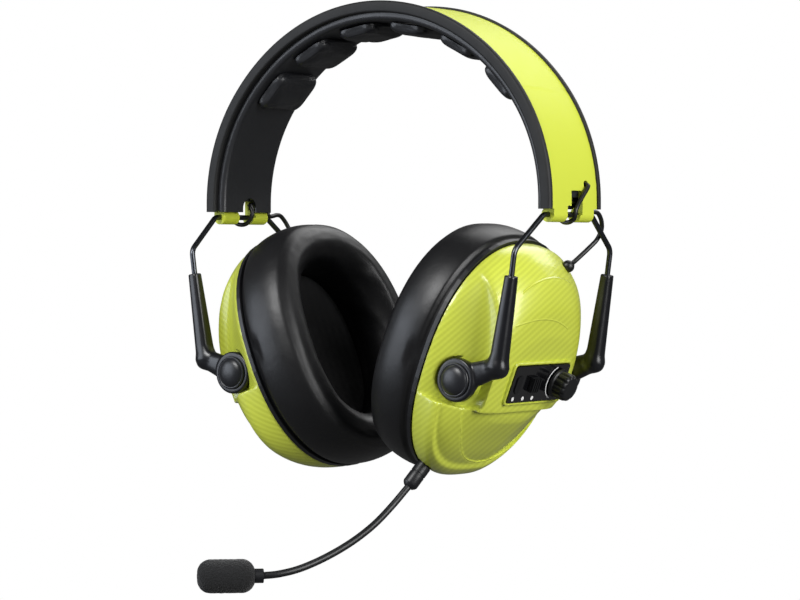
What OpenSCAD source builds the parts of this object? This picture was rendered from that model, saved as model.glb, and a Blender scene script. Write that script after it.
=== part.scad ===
// Wire-yoke communication headset: sprung headband, two sliding arm pairs,
// two tilting ear cups, a control panel on the left cup and a boom microphone.
// Frame: +X to the wearer's left, -Y forward, +Z up, origin midway between the ears.

/* [Headband] */
// Half width of the arch at its outer edge
band_half_width = 93; // [90:0.5:96]
// How much smaller the radius of the arch's sides is than its half width
side_inset = 11; // [9:0.5:13]
// How much higher the crown is than the radius of the sides
crown_lift = 5.5; // [4.5:0.25:6]
// Height of the widest line of the arch above the ears
band_z = 60; // [57:0.5:66]
// Straight length below the widest line
band_tail = 3.6; // [3:0.1:4.2]
// Width of the band, front to rear
band_width = 41; // [39:0.5:46]
// Thickness of the sprung outer plate
plate_t = 2; // [1.6:0.1:2.4]
// Depth of the black edge moulding, measured into the arch
rim_depth = 5.2; // [4.6:0.1:5.6]
// Width of the edge moulding
rim_width = 2.7; // [2.4:0.1:3.4]
// How far the edge moulding stands proud of the plate
rim_proud = 1; // [0.5:0.1:1.2]
// How far the plate reaches into the edge moulding
rim_groove = 1.4; // [0.8:0.1:1.6]
// Depth of the whole band, from edge moulding to lining
band_depth = 8.6; // [8.4:0.1:9.4]
// Radius on the lining's inner edges
lining_round = 2.2; // [1.2:0.1:2.6]

/* [Crown pads] */
// Number of raised pads under the crown
pad_count = 6; // [4:2:6]
// Angle between neighbouring pads
pad_pitch = 18.5; // [17:0.25:19]
// Length of a pad along the arch
pad_length = 22; // [18:0.5:24]
// Width of a pad, front to rear
pad_width = 30; // [24:0.5:33]
// Height of a pad above the lining
pad_height = 5; // [3:0.1:6]

/* [Yokes] */
// Diameter of the yoke wire
wire_d = 2.4; // [2.2:0.1:2.8]
// Outer diameter of the rolled knuckles
knuckle_d = 6.4; // [6:0.1:7]
// Distance from the end of the band down to the knuckle axis
knuckle_drop = 2.4; // [2:0.1:2.8]
// Length of the two knuckles and the notch between them
knuckle_span = 31; // [29:0.5:31]
// Width of the notch between the knuckles
notch_width = 10; // [8:0.5:11]
// Inward lean of the yoke
yoke_lean = 8; // [6:0.25:9]
// Half distance between the two wire legs
leg_y = 37.4; // [37:0.1:39]
// Depth of the leg's bend below the knuckle axis
bend_drop = 15; // [14:0.25:16]
// Inside radius of the wire's bends
wire_bend_r = 4; // [3:0.25:5]
// Depth of the leg's tip below the knuckle axis
leg_drop = 54.5; // [52:0.5:56]

/* [Arms] */
// Depth of the top of the arm below the knuckle axis
arm_top_drop = 25.8; // [25.5:0.1:28]
// Depth of the elbow below the knuckle axis
elbow_drop = 64.2; // [64:0.1:66]
// How far the elbow is set in from the line of the leg
elbow_set = 1.2; // [0.6:0.1:1.6]
// Diameter of the arm at its top
arm_top_d = 5.2; // [4.8:0.1:5.8]
// Diameter of the arm at its elbow
elbow_d = 7.8; // [7:0.1:8.4]
// Highest travel of the arms from rest
slide_up = 8; // [6:0.5:8.5]
// Diameter of the pivot disc
disc_d = 18.6; // [17:0.2:20]
// Thickness of the pivot disc
disc_t = 4.1; // [3.4:0.1:4.6]
// Diameter of the cap on the disc
cap_d = 14.6; // [13:0.2:15.6]
// Height of the cap on the disc
cap_t = 2.6; // [2:0.1:3.2]
// Diameter of the pivot pin
pivot_pin_d = 6; // [5:0.1:6.6]

/* [Cups] */
// Distance from the middle to the centre of the cup's seam
cup_x = 47.4; // [46.6:0.2:50]
// Height of the centre of the cup's seam
cup_z = -7; // [-9:0.25:-6]
// Tilt of the cup at rest
cup_tilt = 21.5; // [19:0.25:22]
// Half width of the seam oval, front to rear
cup_hw = 46; // [45:0.25:47]
// Half height of the seam oval
cup_hh = 53.5; // [52:0.25:54.5]
// Squareness of the seam oval
oval_n = 2.3; // [2.1:0.05:2.6]
// Depth of the shell, seam to outer face
shell_depth = 27.5; // [27:0.1:29]
// Wall of the shell
shell_wall = 2.2; // [1.8:0.1:2.6]
// Distance from the seam out to the pivot axis
pivot_w = 14.6; // [14:0.1:15.4]
// Height of the pivot axis above the seam's centre
pivot_v = -2.9; // [-4:0.1:-2]
// Half distance between the two pivot seats
pivot_seat_s = 37.4; // [37:0.1:38.4]
// Set-back of the chin below the raised face
chin_step = 1.4; // [0.8:0.1:1.8]
// Level of the step above the chin
chin_v = -15; // [-17:0.25:-13]

/* [Ear cushions] */
// Thickness of the backplate
plate_w = 2; // [1.6:0.1:2.4]
// Thickness of the ear cushion
cushion_t = 25; // [22:0.5:27]
// Half width of the ear opening
ear_hw = 27; // [25:0.25:29]
// Half height of the ear opening
ear_hh = 35; // [32:0.25:37]
// Diameter of the loudspeaker's frame
speaker_d = 46; // [42:0.5:48]

/* [Controls] */
// Length of the control panel
panel_len = 41; // [39:0.5:43]
// Height of the control panel
panel_h = 16.5; // [15:0.25:18]
// Thickness of the control panel
panel_t = 1.5; // [1.2:0.1:2]
// Place of the knob along the panel
knob_s = 13.5; // [12:0.25:14]
// Diameter of the volume knob
knob_d = 13; // [11:0.2:13.6]
// Height of the volume knob
knob_h = 7.5; // [6:0.25:9]
// Diameter of the potentiometer's shaft
shaft_d = 6; // [5:0.1:6.2]
// Place of the mode switch along the panel
switch_s = -5; // [-6:0.25:-4]
// Travel of the mode switch each way
switch_travel = 1.5; // [1:0.1:1.8]
// Place of the push button along the panel
button_s = -16; // [-16.5:0.25:-15]
// Travel of the push button
button_travel = 0.8; // [0.4:0.1:1]

/* [Boom microphone] */
// Place of the socket along the rim, front to rear
jack_s = -26.5; // [-28:0.25:-24]
// Forward lean of the socket
jack_lean = 35; // [32:0.5:38]
// Distance of the socket's axis from the seam
jack_w = 3.7; // [3.6:0.1:5]
// Diameter of the plug's barrel
barrel_d = 6.8; // [6:0.1:7]
// Length of the plug's barrel
barrel_len = 11.5; // [10:0.25:13]
// Diameter of the plug's pin
jack_pin_d = 3.5; // [3:0.1:3.6]
// Diameter of the gooseneck
neck_d = 3; // [2.6:0.1:3.6]
// Diameter of the foam windscreen
foam_d = 14.2; // [13:0.2:16]
// Length of the foam windscreen
foam_len = 24; // [20:0.5:26]

/* [Cable] */
// Diameter of the cable between the cups
cable_d = 2; // [1.8:0.1:2.2]
// Diameter of the ball grommet
grommet_d = 5.4; // [5:0.1:6]

/* [Fits] */
// Radial clearance of a running fit
run_gap = 0.05; // [0.03:0.01:0.08]
// Gap between parts that sit together
seat_gap = 0.1; // [0.05:0.01:0.2]
// Gap between parts that pass each other
pass_gap = 0.7; // [0.5:0.05:0.8]

/* [Hidden] */
$fn = 64;
hull_fn = 32;
far = 200;
black = "#26272b";
skin = "#dbe656";
steel = "#55585e";

// arch: a crown arc between two side arcs
joint_lap = 0.2;
joint_ease = 0.02;
joint_taper = 0.999;
joint_proud = 0.06;
band_side_r = band_half_width - side_inset;
band_rise = band_side_r + crown_lift;
arch_c = side_inset;
arch_g = crown_lift;
arch_drop = (arch_c * arch_c - arch_g * arch_g) / (2 * arch_g);
crown_r = band_rise + arch_drop;
arch_split = atan2(arch_c, arch_drop);
crown_z = band_z - arch_drop;

// band
plate_out = -rim_proud;
plate_in = plate_out - plate_t;
plate_half = band_width / 2 - rim_width + rim_groove - seat_gap;
band_end_z = band_z - band_tail;
lining_out = plate_in - seat_gap;
lining_half = band_width / 2 - rim_width - seat_gap;
cable_y = 9.6;
cable_offset = lining_out - cable_d / 2 - seat_gap;
cable_hole_z = 66.6;
slot_y0 = -2;
slot_y1 = 6.6;
slot_z = 64.2;
opening_y = 0.8;
opening_r = 4.8;
pad_base_r = sqrt(pow(crown_r - band_depth - seat_gap, 2) - pow(pad_length / 2, 2));

// yoke
hinge_x = band_half_width - rim_proud - knuckle_d / 2;
hinge_z = band_end_z - knuckle_drop;
wire_r = wire_d / 2;
wire_exit_y = knuckle_span / 2 + 3;

// arms
pivot_x = cup_x + pivot_w * cos(cup_tilt) + pivot_v * sin(cup_tilt);
pivot_z = cup_z - pivot_w * sin(cup_tilt) + pivot_v * cos(cup_tilt);
disc_y = pivot_seat_s + pass_gap;
elbow_x = hinge_x - elbow_drop * sin(yoke_lean) - elbow_set * cos(yoke_lean);
elbow_z = hinge_z - elbow_drop * cos(yoke_lean) + elbow_set * sin(yoke_lean);
arm_top_x = hinge_x - arm_top_drop * sin(yoke_lean);
arm_top_z = hinge_z - arm_top_drop * cos(yoke_lean);
limb_d = 6.4;
limb_end_d = 11.6;
clip_t = 1;
clip_d = 9;
boss_t = 3;
boss_r = 7.6;
clip_y = pivot_seat_s - boss_t - clip_t - 1.5 * seat_gap;
pin_end_y = clip_y - 1.2;

// cup
flank_s = 32;
flank_slope = 0.73;
front_top_n = 1.95;
front_low_n = 3.4;
rear_top_n = 2.5;
rear_low_n = 1.75;
chin_w = 13;
pocket_r = disc_d / 2 + pass_gap;
cushion_gap = 0.2;
rim_lip = 0.6;
boss_s = 31;
boss_v = 33;
screw_r = 1.4;
screw_head_r = 2.6;
screw_head_t = 1.2;
panel_w = shell_depth;
face_w = panel_w + panel_t;
inner_face_w = shell_depth - shell_wall;
control_room = 6.3;
board_w = inner_face_w - control_room;
board_t = 1.6;
board_len = 46;
board_h = 18;
post_r = 1.5;
magnet_w = 6.3;
magnet_t = 6.9;
magnet_r = 12;
foam_w = magnet_w + magnet_t + 2 * seat_gap;
foam_t = board_w - foam_w - 1.6;
foam_hw = 26;
foam_top = 34;
foam_low = 26;
battery_t = 5;
battery_len = 34;
battery_h = 15;
battery_s = -14;
battery_v = -40.5;
pot_half = 5.4;

// boom
jack_n = quarter_n(225, jack_w);
jack_v = -(cup_hh - jack_w / 6) * pow(1 - pow(abs(jack_s) / cup_hw, jack_n), 1 / jack_n);
barrel_start = 0.6;
neck_points = [
    [26.4, -41, -69.8], [24, -50.5, -77], [21.2, -62, -83.3], [17.4, -74.5, -88.7],
    [13, -86, -92.6], [8, -94, -94.5], [2.5, -99, -95.2]
];
foam_dir = [-0.75, -0.66, 0];
foam_turn = atan2(foam_dir[1], foam_dir[0]);
collar_len = 4;
collar_d = 6;
capsule_d = 9.4;
capsule_len = 7;
capsule_neck = 5;

// lead from the band to the cup, left side
lead_points = [
    [86.4, 16.6, 56.2], [86.4, 16.6, 55.5], [86.4, 17.3, 54.8], [86.5, 18.8, 54.7], [86.7, 21.2, 55],
    [86.9, 23.8, 55.4], [87, 26.4, 55.1], [86.9, 28.6, 53.6], [86.5, 30.6, 51.2], [85.8, 31.8, 48.4],
    [85.1, 31.3, 45.8], [84.4, 29.6, 43.2], [83.2, 26.8, 40.6], [81.4, 23.8, 37.6], [79.6, 21.4, 35],
    [78.9, 20.6, 34.1]
];
// cable inside and around the end of the band, left side
end_route = [
    [86.4, 16.6, 56.2], [86.4, 16.6, 58.6], [86.6, 14.4, 59.8], [86.6, 8, 60], [86.2, 3.4, 59.8],
    [84.6, 1.6, 58.8], [83.3, 1.2, 56.6], [83.8, 0.8, 53.6], [86, 0.2, 51.2], [89.4, -0.4, 50.8],
    [92.4, -0.8, 52.4], [93.4, -0.9, 56], [93.3, 2.6, 60], [93.2, 8.4, 65.4]
];

// ---------- shared shapes ----------

// Sweeps a flat section round the arch: x is the offset from the outer edge, y runs front to rear
module arch() {
    translate([0, 0, crown_z]) rotate([90, 0, 0]) rotate([0, 0, 90 - arch_split - joint_lap])
        rotate_extrude(angle = 2 * (arch_split + joint_lap))
            translate([crown_r, 0]) scale([1, joint_taper]) children();
    for (m = [0, 1]) mirror([m, 0, 0]) {
        translate([arch_c, 0, band_z]) rotate([90, 0, 0])
            rotate_extrude(angle = 90 - arch_split) translate([band_side_r - joint_ease, 0]) children();
        translate([band_half_width, 0, band_end_z]) mirror([0, 1, 0])
            linear_extrude(height = band_tail + joint_lap) children();
    }
}

// Lays a flat shape in a cup's frame: x becomes front to rear, y up, and the height runs outwards
module outwards(w, depth) {
    translate([w, 0, 0]) rotate([90, 0, 90]) linear_extrude(height = depth) children();
}

// A round rod from one point to another
module rod(a, b, r1, r2) {
    d = b - a;
    len = norm(d);
    turn = atan2(d[1], d[0]);
    lean = acos(d[2] / len);
    translate(a) rotate([0, lean, turn]) cylinder(r1 = r1, r2 = r2, h = len);
}

// A line of rods with round joints that stand just proud of them
module rod_line(points, r) {
    for (i = [0 : len(points) - 2]) rod(points[i], points[i + 1], r, r);
    for (i = [1 : len(points) - 2]) translate(points[i]) sphere(r = r + joint_proud);
}

function squared(t, p) = sign(t) * pow(abs(t), p);
function oval_point(a, hw, top, bottom, n) =
    [hw * squared(cos(a), 2 / n), (sin(a) > 0 ? top : bottom) * squared(sin(a), 2 / n)];
function oval(hw, top, bottom, n, steps = 56) =
    [for (i = [0 : steps - 1]) oval_point(360 * i / steps, hw, top, bottom, n)];

// Places its children in the frame of the left cup: x outwards, y to the rear, z up along the cup
module in_cup() {
    translate([cup_x, 0, cup_z]) rotate([0, cup_tilt, 0]) children();
}

// Places its children on the left yoke: z up along the legs, x outwards, origin on the knuckle axis
module in_yoke() {
    translate([hinge_x, 0, hinge_z]) rotate([0, yoke_lean, 0]) children();
}

// Places its children at the microphone socket: z points out of the socket
module in_jack() {
    in_cup() translate([jack_w, jack_s, jack_v]) rotate([180 - jack_lean, 0, 0]) children();
}

module both_ends() {
    children();
    mirror([0, 1, 0]) children();
}

// Unit direction from one point to the next
function aim(a, b) = (b - a) / norm(b - a);
function tangent(p, i) = aim(p[max(i - 1, 0)], p[min(i + 1, len(p) - 1)]);
function unit(v) = v / norm(v);

// Side vectors carried along the points without twist
function carry(p, i, u) = i == len(p) ? [] :
    let (t = tangent(p, i), n = unit(u - (u * t) * t)) concat([n], carry(p, i + 1, n));
function ring_at(c, t, u, r, sides) =
    let (v = cross(t, u))
    [for (k = [0 : sides - 1]) c + r * (cos(360 * k / sides) * u + sin(360 * k / sides) * v)];

// A cord swept along its points
module cord(points, d, sides = 8) {
    n = len(points);
    t0 = tangent(points, 0);
    sides_u = carry(points, 0, abs(t0[2]) > 0.8 ? [1, 0, 0] : [0, 0, 1]);
    rings = [for (i = [0 : n - 1]) each ring_at(points[i], tangent(points, i), sides_u[i], d / 2, sides)];
    walls = [for (i = [0 : n - 2], k = [0 : sides - 1])
        let (a = i * sides + k, b = i * sides + (k + 1) % sides)
        each [[a, a + sides, b + sides], [a, b + sides, b]]];
    start_cap = [for (k = [1 : sides - 2]) [0, k, k + 1]];
    end_cap = [for (k = [1 : sides - 2]) let (e = (n - 1) * sides) [e, e + k + 1, e + k]];
    polyhedron(points = rings, faces = concat(walls, start_cap, end_cap));
}

// ---------- headband ----------

module headband_plate() {
    color(skin) difference() {
        union() {
            arch() translate([plate_in, -plate_half]) square([plate_t, 2 * plate_half]);
            for (m = [0, 1]) mirror([m, 0, 0]) {
                translate([hinge_x, -knuckle_span / 2, hinge_z])
                    rotate([-90, 0, 0]) cylinder(d = knuckle_d, h = knuckle_span);
                translate([band_half_width + plate_in, -knuckle_span / 2, hinge_z])
                    cube([plate_t - joint_ease, knuckle_span, knuckle_drop + joint_lap]);
            }
        }
        for (m = [0, 1]) mirror([m, 0, 0]) {
            translate([hinge_x, -far / 2, hinge_z])
                rotate([-90, 0, 0]) cylinder(r = wire_r + run_gap, h = far);
            translate([hinge_x - far / 4, -notch_width / 2, hinge_z - knuckle_d])
                cube([far / 2, notch_width, 1.5 * knuckle_d + 0.6]);
            translate([band_half_width - 8, slot_y0, hinge_z])
                cube([10, slot_y1 - slot_y0, slot_z - hinge_z]);
            translate([band_half_width - 8, cable_y, cable_hole_z + 3 * seat_gap])
                rotate([0, 90, 0]) cylinder(r = cable_d / 2 + 7 * seat_gap, h = 10);
        }
    }
}

// Section of one edge moulding, with the groove that holds the plate
module edge_section() {
    outer = band_width / 2;
    inner = outer - rim_width;
    soft = 0.5;
    difference() {
        polygon([
            [-rim_depth, inner], [-rim_depth, outer - soft], [-rim_depth + soft, outer],
            [-soft, outer], [0, outer - soft], [0, inner + soft / 2], [-soft / 2, inner]
        ]);
        translate([plate_in - seat_gap / 2, inner - 1])
            square([plate_t + seat_gap, rim_groove + 1]);
    }
}

module front_edge_moulding() {
    color(black) arch() edge_section();
}

module rear_edge_moulding() {
    color(black) arch() mirror([0, 1]) edge_section();
}

module lining_section() {
    inner = -band_depth;
    r = lining_round;
    corner = [for (a = [90 : -30 : 0]) [inner + r - r * cos(a), lining_half - r + r * sin(a)]];
    other = [for (a = [0 : 30 : 90]) [inner + r - r * cos(a), -lining_half + r - r * sin(a)]];
    polygon(concat([[lining_out, lining_half]], corner, other, [[lining_out, -lining_half]]));
}

// Room for the cable and the knuckles at each end of the lining
module lining_pockets() {
    pocket = cable_d + 1;
    low = band_end_z - 1;
    wall_x = band_half_width - band_depth + 0.9;
    for (m = [0, 1]) mirror([m, 0, 0]) {
        translate([wall_x, opening_y - opening_r, low]) cube([far, 25, 6]);
        translate([wall_x, cable_y - pocket / 2, low])
            cube([far, pocket, cable_hole_z - low + pocket / 2]);
        translate([wall_x - 4, opening_y - opening_r, low]) cube([5, 2 * opening_r, 2.6]);
        translate([wall_x - 4, opening_y, low + 2.6])
            rotate([0, 90, 0]) cylinder(r = opening_r, h = 5);
        translate([hinge_x, -far / 2, hinge_z])
            rotate([-90, 0, 0]) cylinder(r = knuckle_d / 2 + seat_gap, h = far);
        translate([hinge_x, -far / 2, low]) cube([far, far, 2 * knuckle_drop]);
    }
}

module band_lining() {
    color(black) difference() {
        arch() lining_section();
        arch() translate([cable_offset - cable_d / 2 - seat_gap, -cable_y - cable_d / 2 - seat_gap])
            square([4, cable_d + 2 * seat_gap]);
        lining_pockets();
    }
}

// One crown pad: a rounded pillow that is flat where it meets the lining
module crown_pad() {
    steps = 20;
    rows = 5;
    rim = oval(pad_width / 2, pad_length / 2, pad_length / 2, 4, steps);
    points = [for (j = [0 : rows], p = rim)
        let (a = 90 * j / rows, f = j == rows ? 0 : pow(cos(a), 0.35))
        [p[0] * f, p[1] * f, pad_height * pow(sin(a), 0.8)]];
    walls = [for (j = [0 : rows - 1], k = [0 : steps - 1])
        let (a = j * steps + k, b = j * steps + (k + 1) % steps)
        each (j == rows - 1 ? [[a, b, rows * steps]] : [[a, b, b + steps], [a, b + steps, a + steps]])];
    base = [for (k = [1 : steps - 2]) [0, k + 1, k]];
    polyhedron(points = [for (i = [0 : rows * steps]) points[i]], faces = concat(walls, base));
}

module crown_pads() {
    first = -pad_pitch * (pad_count - 1) / 2;
    color(black) for (i = [0 : pad_count - 1])
        translate([0, 0, crown_z]) rotate([0, first + i * pad_pitch, 0])
            translate([0, 0, pad_base_r]) rotate([180, 0, 90]) crown_pad();
}

// Points of the cable along the arch, from the left hole to the right hole
function arch_route() =
    let (side = band_side_r + cable_offset, crown = crown_r + cable_offset,
        low = asin((cable_hole_z + 2 - band_z) / side))
    concat(
        [for (i = [0 : 8]) let (a = low + (90 - arch_split - low) * i / 9)
            [arch_c + side * cos(a), cable_y, band_z + side * sin(a)]],
        [for (i = [0 : 34]) let (a = 90 - arch_split + 2 * arch_split * i / 34)
            [crown * cos(a), cable_y, crown_z + crown * sin(a)]],
        [for (i = [8 : -1 : 0]) let (a = low + (90 - arch_split - low) * i / 9)
            [-arch_c - side * cos(a), cable_y, band_z + side * sin(a)]]);

// Points from the rear corner of the band round the knuckles and in at the hole
function end_points(m) =
    let (inner_x = band_half_width + cable_offset)
    [for (q = concat(end_route, [[92.4, cable_y, cable_hole_z], [inner_x + 0.9, cable_y, cable_hole_z + 0.3]]))
        [m * q[0], q[1], q[2]]];

function backwards(list) = [for (i = [len(list) - 1 : -1 : 0]) list[i]];

module band_cable() {
    color(black) cord(concat(end_points(1), arch_route(), backwards(end_points(-1))), cable_d);
}

// ---------- yokes and arms ----------

// Points along a bend in the yoke's plane, from one angle to another
function bend(y, z, r, a0, a1, steps) =
    [for (i = [0 : steps]) let (a = a0 + (a1 - a0) * i / steps) [0, y + r * cos(a), z + r * sin(a)]];

function leg_points() =
    let (slope = atan2(bend_drop, leg_y - wire_exit_y), r = wire_bend_r + wire_r,
        cut = r * tan(slope / 2), turn = r * tan((90 - slope) / 2))
    concat(bend(wire_exit_y - cut, -r, r, 90, 90 - slope, 2),
        bend(leg_y - r, -bend_drop - turn, r, 90 - slope, 0, 3), [[0, leg_y, -leg_drop]]);

module wire_leg() {
    points = leg_points();
    rod_line(points, wire_r);
    translate(points[0]) sphere(r = wire_r + joint_proud);
}

module wire_yoke() {
    start = leg_points()[0];
    color(steel) in_yoke() {
        translate([0, -start[1], 0]) rotate([-90, 0, 0]) cylinder(r = wire_r, h = 2 * start[1]);
        both_ends() wire_leg();
    }
}

module left_wire_yoke() {
    wire_yoke();
}

module right_wire_yoke() {
    mirror([1, 0, 0]) wire_yoke();
}

// The rear arm of the left side; the front arm is its mirror image
module arm() {
    bore_end = leg_drop + slide_up + 1;
    color(black) difference() {
        union() {
            rod([elbow_x, leg_y, elbow_z], [arm_top_x, leg_y, arm_top_z], elbow_d / 2, arm_top_d / 2);
            translate([elbow_x, leg_y, elbow_z]) sphere(d = elbow_d + 0.3);
            difference() {
                hull() {
                    translate([elbow_x, leg_y, elbow_z]) sphere(d = limb_d, $fn = hull_fn);
                    translate([pivot_x, disc_y, pivot_z])
                        rotate([-90, 0, 0]) cylinder(d = limb_end_d, h = disc_t - 0.3, $fn = hull_fn);
                }
                translate([pivot_x, disc_y, pivot_z])
                    rotate([90, 0, 0]) cylinder(r = boss_r + pass_gap, h = limb_d);
            }
            translate([pivot_x, disc_y, pivot_z]) rotate([-90, 0, 0]) cylinder(d = disc_d, h = disc_t);
            translate([pivot_x, pin_end_y, pivot_z])
                rotate([-90, 0, 0]) cylinder(d = pivot_pin_d, h = disc_y - pin_end_y + 1);
        }
        in_yoke() translate([0, leg_y, -bore_end])
            cylinder(r = wire_r + run_gap, h = bore_end);
        translate([pivot_x, clip_y - seat_gap, pivot_z]) rotate([-90, 0, 0]) difference() {
            cylinder(d = pivot_pin_d + 2, h = clip_t + 2 * seat_gap);
            translate([0, 0, -1]) cylinder(d = pivot_pin_d - 1.4, h = clip_t + 3);
        }
    }
}

module left_rear_arm() {
    arm();
}

module left_front_arm() {
    mirror([0, 1, 0]) arm();
}

module right_rear_arm() {
    mirror([1, 0, 0]) arm();
}

module right_front_arm() {
    mirror([1, 0, 0]) mirror([0, 1, 0]) arm();
}

// Domed caps on the pivot discs
module pivot_caps() {
    edge = 0.8;
    dome_r = (pow(cap_d / 2 - edge, 2) + pow(cap_t - edge, 2)) / (2 * (cap_t - edge));
    color("#3a3b40") both_ends() translate([pivot_x, disc_y + disc_t + seat_gap / 2, pivot_z])
        rotate([-90, 0, 0]) {
            cylinder(d = cap_d, h = edge);
            translate([0, 0, edge]) intersection() {
                cylinder(d = cap_d - 2 * edge, h = cap_t);
                translate([0, 0, cap_t - edge - dome_r]) sphere(r = dome_r);
            }
        }
}

module left_pivot_caps() {
    pivot_caps();
}

module right_pivot_caps() {
    mirror([1, 0, 0]) pivot_caps();
}

// ---------- cup shell ----------

// Levels of the shell: distance from the seam, half width in front and behind, top and bottom
function shell_levels() = [
    [0, cup_hw, cup_hw, cup_hh - 0.7, cup_hh],
    [6, cup_hw, cup_hw, cup_hh - 0.9, cup_hh - 1],
    [11, cup_hw + 0.3, cup_hw - 3, cup_hh - 3.4, cup_hh - 4.6],
    [16.5, cup_hw - 2, cup_hw - 7, cup_hh - 7, cup_hh - 12.3],
    [21.5, cup_hw - 7, cup_hw - 12.2, cup_hh - 12, cup_hh - 21.6],
    [shell_depth - 2, cup_hw - 12, cup_hw - 16.6, cup_hh - 20.5, cup_hh - 29.1],
    [shell_depth, cup_hw - 18.5, cup_hw - 20.3, cup_hh - 31.5, cup_hh - 33.7]
];

// Squareness of the outline in each quarter; it grows with the distance from the seam
function quarter_n(a, w) =
    let (own = cos(a) < 0 ? (sin(a) > 0 ? front_top_n : front_low_n) : (sin(a) > 0 ? rear_top_n : rear_low_n))
    oval_n + min(1, 1.6 * w / shell_depth) * (own - oval_n);

// Outline at one level; the flank form is narrower and a little taller than the dome
function shell_outline(l, inset, flank, steps = 56) =
    [for (i = [0 : steps - 1])
        let (a = 360 * i / steps, w = max(l[0], 0), n = quarter_n(a, w),
            wide = cos(a) < 0 ? l[1] : l[2], narrow = cup_hw + 1 - flank_slope * w,
            hw = (flank ? narrow : wide) - inset,
            hh = (sin(a) > 0 ? l[3] : l[4]) + (flank ? 2 : 0) - inset)
        [hw * squared(cos(a), 2 / n), hh * squared(sin(a), 2 / n)]];

// The solid inside the shell's skin, drawn in by an inset
module shell_form(inset, flank = false) {
    levels = shell_levels();
    last = len(levels) - 1;
    hull() {
        outwards(-(inset > 0 ? 1 : 0) - (flank ? 5 : 0), 0.01) polygon(shell_outline(levels[0], inset, flank));
        for (i = [1 : last]) outwards(min(levels[i][0], shell_depth - inset) - (i == last ? 0.01 : 0), 0.01)
            polygon(shell_outline(levels[i], inset, flank));
    }
}

// The recess in each flank where the arm sits
module flank_cut(inset) {
    difference() {
        both_ends() translate([-far / 4, flank_s - inset, chin_v - inset]) cube(far);
        shell_form(inset, true);
    }
}

module pivot_axis(s0, depth, r) {
    both_ends() translate([pivot_w, s0, pivot_v]) rotate([-90, 0, 0]) cylinder(r = r, h = depth);
}

module screw_places() {
    for (s = [-boss_s, boss_s], v = [-boss_v, boss_v]) translate([0, s, v]) rotate([0, 90, 0]) children();
}

module shell_body(with_controls) {
    difference() {
        union() {
            difference() {
                shell_form(0);
                flank_cut(0);
            }
            pivot_axis(pivot_seat_s - boss_t - 2, boss_t + 2, boss_r);
        }
        difference() {
            shell_form(shell_wall);
            flank_cut(shell_wall);
            pivot_axis(pivot_seat_s - boss_t, 20, pocket_r + 1.6);
            screw_places() cylinder(r = screw_r + 1.8, h = far);
            if (with_controls) board_posts();
        }
        pivot_axis(pivot_seat_s, 30, pocket_r);
        pivot_axis(pivot_seat_s - boss_t - 5, 20, pivot_pin_d / 2 + run_gap);
        pivot_axis(pin_end_y - seat_gap, pivot_seat_s - boss_t - pin_end_y + seat_gap, clip_d / 2 + pass_gap);
        screw_places() translate([0, 0, -1]) cylinder(r = screw_r - 0.1, h = 9);
        chin_cut();
        if (with_controls) control_holes();
        grommet_hole();
    }
}

// Sets the lower face of the shell back under the raised face
module chin_cut() {
    difference() {
        translate([chin_w, -far / 2, -far]) cube([far, far, far + chin_v]);
        shell_form(chin_step);
    }
}

module grommet_hole() {
    in_grommet() {
        translate([0, 0, -8]) cylinder(r = grommet_neck_r + seat_gap, h = 9);
        translate([0, 0, grommet_d / 2 - 0.6]) sphere(d = grommet_d + 2 * seat_gap);
    }
}

module board_posts() {
    for (s = [-1, 1]) translate([board_w + board_t + seat_gap, s * (board_len / 2 - post_r), 0])
        rotate([0, 90, 0]) cylinder(r = post_r, h = far);
}

module control_holes() {
    translate([inner_face_w - 1, knob_s, 0]) rotate([0, 90, 0])
        cylinder(r = bushing_r + seat_gap, h = 8);
    translate([inner_face_w - 1, switch_s - 1 - switch_travel - seat_gap, -1.5 - seat_gap])
        cube([8, 2 * (1 + switch_travel + seat_gap), 3 + 2 * seat_gap]);
    button_shape(button_gap, inner_face_w - 1, 8);
    lens_places() cylinder(r = lens_r + seat_gap, h = 8);
    in_jack_local() translate([0, 0, -4]) cylinder(r = barrel_d / 2 - 0.3, h = 8);
}

module in_jack_local() {
    translate([jack_w, jack_s, jack_v]) rotate([180 - jack_lean, 0, 0]) children();
}

module left_cup_shell() {
    color(skin) in_cup() shell_body(true);
}

module right_cup_shell() {
    color(skin) mirror([1, 0, 0]) in_cup() shell_body(false);
}

// ---------- inside the cups ----------

module backplate() {
    color(black) in_cup() difference() {
        outwards(-plate_w, plate_w - seat_gap)
            polygon(oval(cup_hw + rim_lip, cup_hh + rim_lip, cup_hh + rim_lip, oval_n));
        translate([-plate_w - 1, 0, 0]) rotate([0, 90, 0]) cylinder(d = speaker_d - 6, h = plate_w + 2);
        translate([-plate_w - 1, 0, 0]) screw_places() cylinder(r = screw_r + seat_gap, h = 6);
        translate([-plate_w - 1, 0, 0]) screw_places()
            cylinder(r = screw_head_r + seat_gap, h = 1 + screw_head_t + seat_gap);
    }
}

module left_backplate() {
    backplate();
}

module right_backplate() {
    mirror([1, 0, 0]) backplate();
}

module backplate_screws() {
    color(steel) in_cup() translate([-plate_w + seat_gap, 0, 0]) screw_places() {
        cylinder(r = screw_head_r, h = screw_head_t);
        cylinder(r = screw_r - 0.1 - seat_gap / 2, h = 8);
    }
}

module left_backplate_screws() {
    backplate_screws();
}

module right_backplate_screws() {
    mirror([1, 0, 0]) backplate_screws();
}

module pivot_clips() {
    color(steel) both_ends() translate([pivot_x, clip_y, pivot_z])
        rotate([-90, 0, 0]) difference() {
            cylinder(d = clip_d, h = clip_t);
            translate([0, 0, -1]) cylinder(d = pivot_pin_d - 1.4 + 2 * seat_gap, h = clip_t + 2);
        }
}

module left_pivot_clips() {
    pivot_clips();
}

module right_pivot_clips() {
    mirror([1, 0, 0]) pivot_clips();
}

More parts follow.
